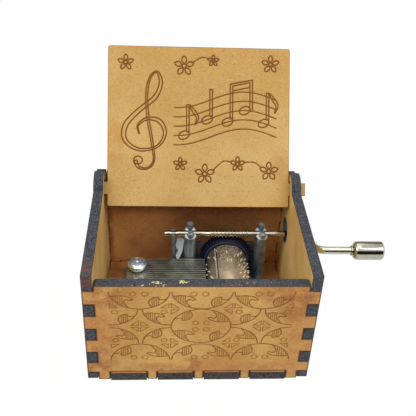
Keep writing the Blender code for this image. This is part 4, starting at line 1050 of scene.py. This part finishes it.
def bend(corner, before, after):
    """A quarter bend of the wire about a corner, from one direction to the next."""
    for k in range(17):
        turn = math.radians(90 * k / 16)
        centre = corner - before * BEND * (1 - math.sin(turn)) + after * BEND * (1 - math.cos(turn))
        wire_ring(centre, math.cos(turn) * before + math.sin(turn) * after, plain(WIRE_RADIUS))


axis = Vector((0, WIRE_Y, WIRE_Z))
handle = axis + ARM * ARM_LENGTH
for x, radius in ((-10.25, 0.8), (-10.15, 0.93), (-10.05, 1.0), (-8.15, 1.0), (-8.05, 0.95), (-8.0, 0.7),
                  (-6.6, 0.7), (-6.55, 0.95), (-6.45, 1.0), (-4.0, 1.0), (0.0, 1.0), (4.2, 1.0),
                  (4.3, ROOT_RADIUS)):
    wire_ring(axis + EAST * x, EAST, plain(radius))
for k in range(191):
    x = THREAD_START - 0.1 + 12.5 * k / 190
    wire_ring(axis + EAST * x, EAST, thread(x))
for x, radius in ((16.9, ROOT_RADIUS), (17.0, 1.0), (21.0, 1.0), (25.0, 1.0), (28.9, 1.0), (31.6, 1.0),
                  (31.9, 1.02), (32.1, WIRE_RADIUS)):
    wire_ring(axis + EAST * x, EAST, plain(radius))
bend(axis + EAST * ARM_X, EAST, ARM)
bend(handle + EAST * ARM_X, ARM, EAST)
wire_ring(handle + EAST * 54.0, EAST, plain(WIRE_RADIUS))
bm = bmesh.new()
stack(bm, rings)
settle("crank_wire", bm, nickel, "crank", "crank_shaft")


# The knob is turned steel with a bright chrome finish, eased at both ends. It spins on the wire
# against a small ring that is pressed on it.

def turned(bm, profile, centre, sides):
    """A closed shell turned round a line along X through the centre."""
    stack(bm, [[(x, y, z) for y, z, x in circle(centre.y, centre.z, radius, x, sides)]
               for x, radius in profile], True)


chrome = metal("chrome", (176, 175, 162), (164, 163, 148), 0.07, 0.02, 900, dent=0.000001)[0]
KNOB_START = 46.2
KNOB_END = 55.3
KNOB_RADIUS = 2.83
EASE = 0.9
profile = [(54.2, 0.02), (54.2, 1.27), (KNOB_START, 1.27), (KNOB_START, 1.7)]
profile += oval(KNOB_START + 1.3, 1.72, -1.3, 1.11, 9, 90, 9)
profile += [(48.5, KNOB_RADIUS), (51.5, KNOB_RADIUS)]
profile += oval(KNOB_END - EASE, KNOB_RADIUS - EASE, EASE, EASE, 90, 0, 10)
profile += [(KNOB_END - 0.02, 1.0), (KNOB_END - 0.04, 0.02)]
bm = bmesh.new()
turned(bm, profile, handle, 96)
settle("knob", bm, chrome, "knob", "crank_knob")

profile = [(45.5, 1.3), *oval(45.75, 1.45, -0.25, 0.12, 0, 180, 9), (46.0, 1.3)]
bm = bmesh.new()
turned(bm, profile, handle, 64)
settle("ring", bm, chrome, "crank", "knob_collar")


# The stage: a white sweep under the box and a white world behind it, soft lamps, cards that only
# the metal mirrors, and the camera of the photograph.

def lamp(name, place, aim, size, power):
    """A soft square lamp."""
    data = bpy.data.lights.new(name, "AREA")
    data.size = size
    data.energy = power
    made = bpy.data.objects.new(name, data)
    made.location = place
    made.rotation_euler = (Vector(aim) - Vector(place)).to_track_quat("-Z", "Y").to_euler()
    bpy.context.scene.collection.objects.link(made)


def seen_rays(tree):
    """1 for what the camera sees, straight, in gloss or through glass, and 0 for other light."""
    seen = Signal(tree)
    return sum(seen.node("ShaderNodeLightPath", output=ray)
               for ray in ("Is Camera Ray", "Is Glossy Ray", "Is Transmission Ray"))


floor_look, shader, place = new_look("white_sweep")
feed(shader, Base_Color=(0.9, 0.9, 0.9, 1), Roughness=0.9)
rays = seen_rays(floor_look.node_tree)
glow = rays.node("ShaderNodeEmission", {"Color": (1, 1, 1, 1), "Strength": 1.0})
lit = Signal(floor_look.node_tree, shader.outputs[0])
shine = rays.node("ShaderNodeMixShader", {0: rays * 0.97, 1: lit, 2: glow})
surface = floor_look.node_tree.nodes["Material Output"].inputs["Surface"]
floor_look.node_tree.links.new(shine.socket, surface)
bm = bmesh.new()
bmesh.ops.create_grid(bm, x_segments=8, y_segments=8, size=1.5)
floor = make("sweep", bm, floor_look)
floor.location.z = -0.0002

for name, place, size, power in (("key", (-0.5, -0.32, 0.62), 0.5, 2.8),
                                 ("fill", (0.5, -0.32, 0.62), 0.5, 2.4),
                                 ("top", (0.0, -0.1, 0.95), 0.6, 1.5),
                                 ("back", (0.0, 0.5, 0.7), 0.6, 1.0)):
    lamp(name, place, (0, 0, 0.03), size, power)

for name, shade, outline, low, high, along in (
        ("dark_card", 0.01, [(-700, 2), (700, 2), (700, 400), (-700, 400)], -604, -600, "Y"),
        ("dark_mat", 0.01, [(-700, -600), (700, -600), (700, -150), (-700, -150)], 0.5, 1.5, "Z"),
        ("grey_card", 0.4, [(-700, 2), (700, 2), (700, 900), (-700, 900)], 600, 604, "Y")):
    card_look, shader, place = new_look(name)
    feed(shader, Base_Color=(shade, shade * 0.97, shade * 0.85, 1), Roughness=1.0)
    bm = bmesh.new()
    slab(bm, outline, low, high, along)
    card = make(name, bm, card_look)
    card.visible_camera = False
    card.visible_diffuse = False
    card.visible_shadow = False

world = bpy.data.worlds.new("studio")
world.use_nodes = True
backdrop = world.node_tree.nodes["Background"]
backdrop.inputs["Color"].default_value = (1, 1, 1, 1)
rays = seen_rays(world.node_tree)
world.node_tree.links.new((0.4 + rays * 0.6).socket, backdrop.inputs["Strength"])
bpy.context.scene.world = world

pitch, yaw, roll = (math.radians(angle) for angle in (34.77, 4.44, 2.97))
ahead = Vector((math.sin(yaw) * math.cos(pitch), math.cos(yaw) * math.cos(pitch), -math.sin(pitch)))
level = Vector((math.cos(yaw), -math.sin(yaw), 0))
rising = level.cross(ahead)
right = level * math.cos(roll) + rising * math.sin(roll)
top = rising * math.cos(roll) - level * math.sin(roll)
lens = bpy.data.cameras.new("photo_camera")
lens.lens = 59.51
lens.sensor_width = 36
lens.clip_start = 0.01
camera = bpy.data.objects.new("photo_camera", lens)
facing = Matrix((right, top, -ahead)).transposed().to_4x4()
camera.matrix_world = Matrix.Translation((-0.01038, -0.16329, 0.15607)) @ facing
bpy.context.scene.collection.objects.link(camera)
bpy.context.scene.camera = camera
bpy.context.scene.view_settings.view_transform = "Standard"
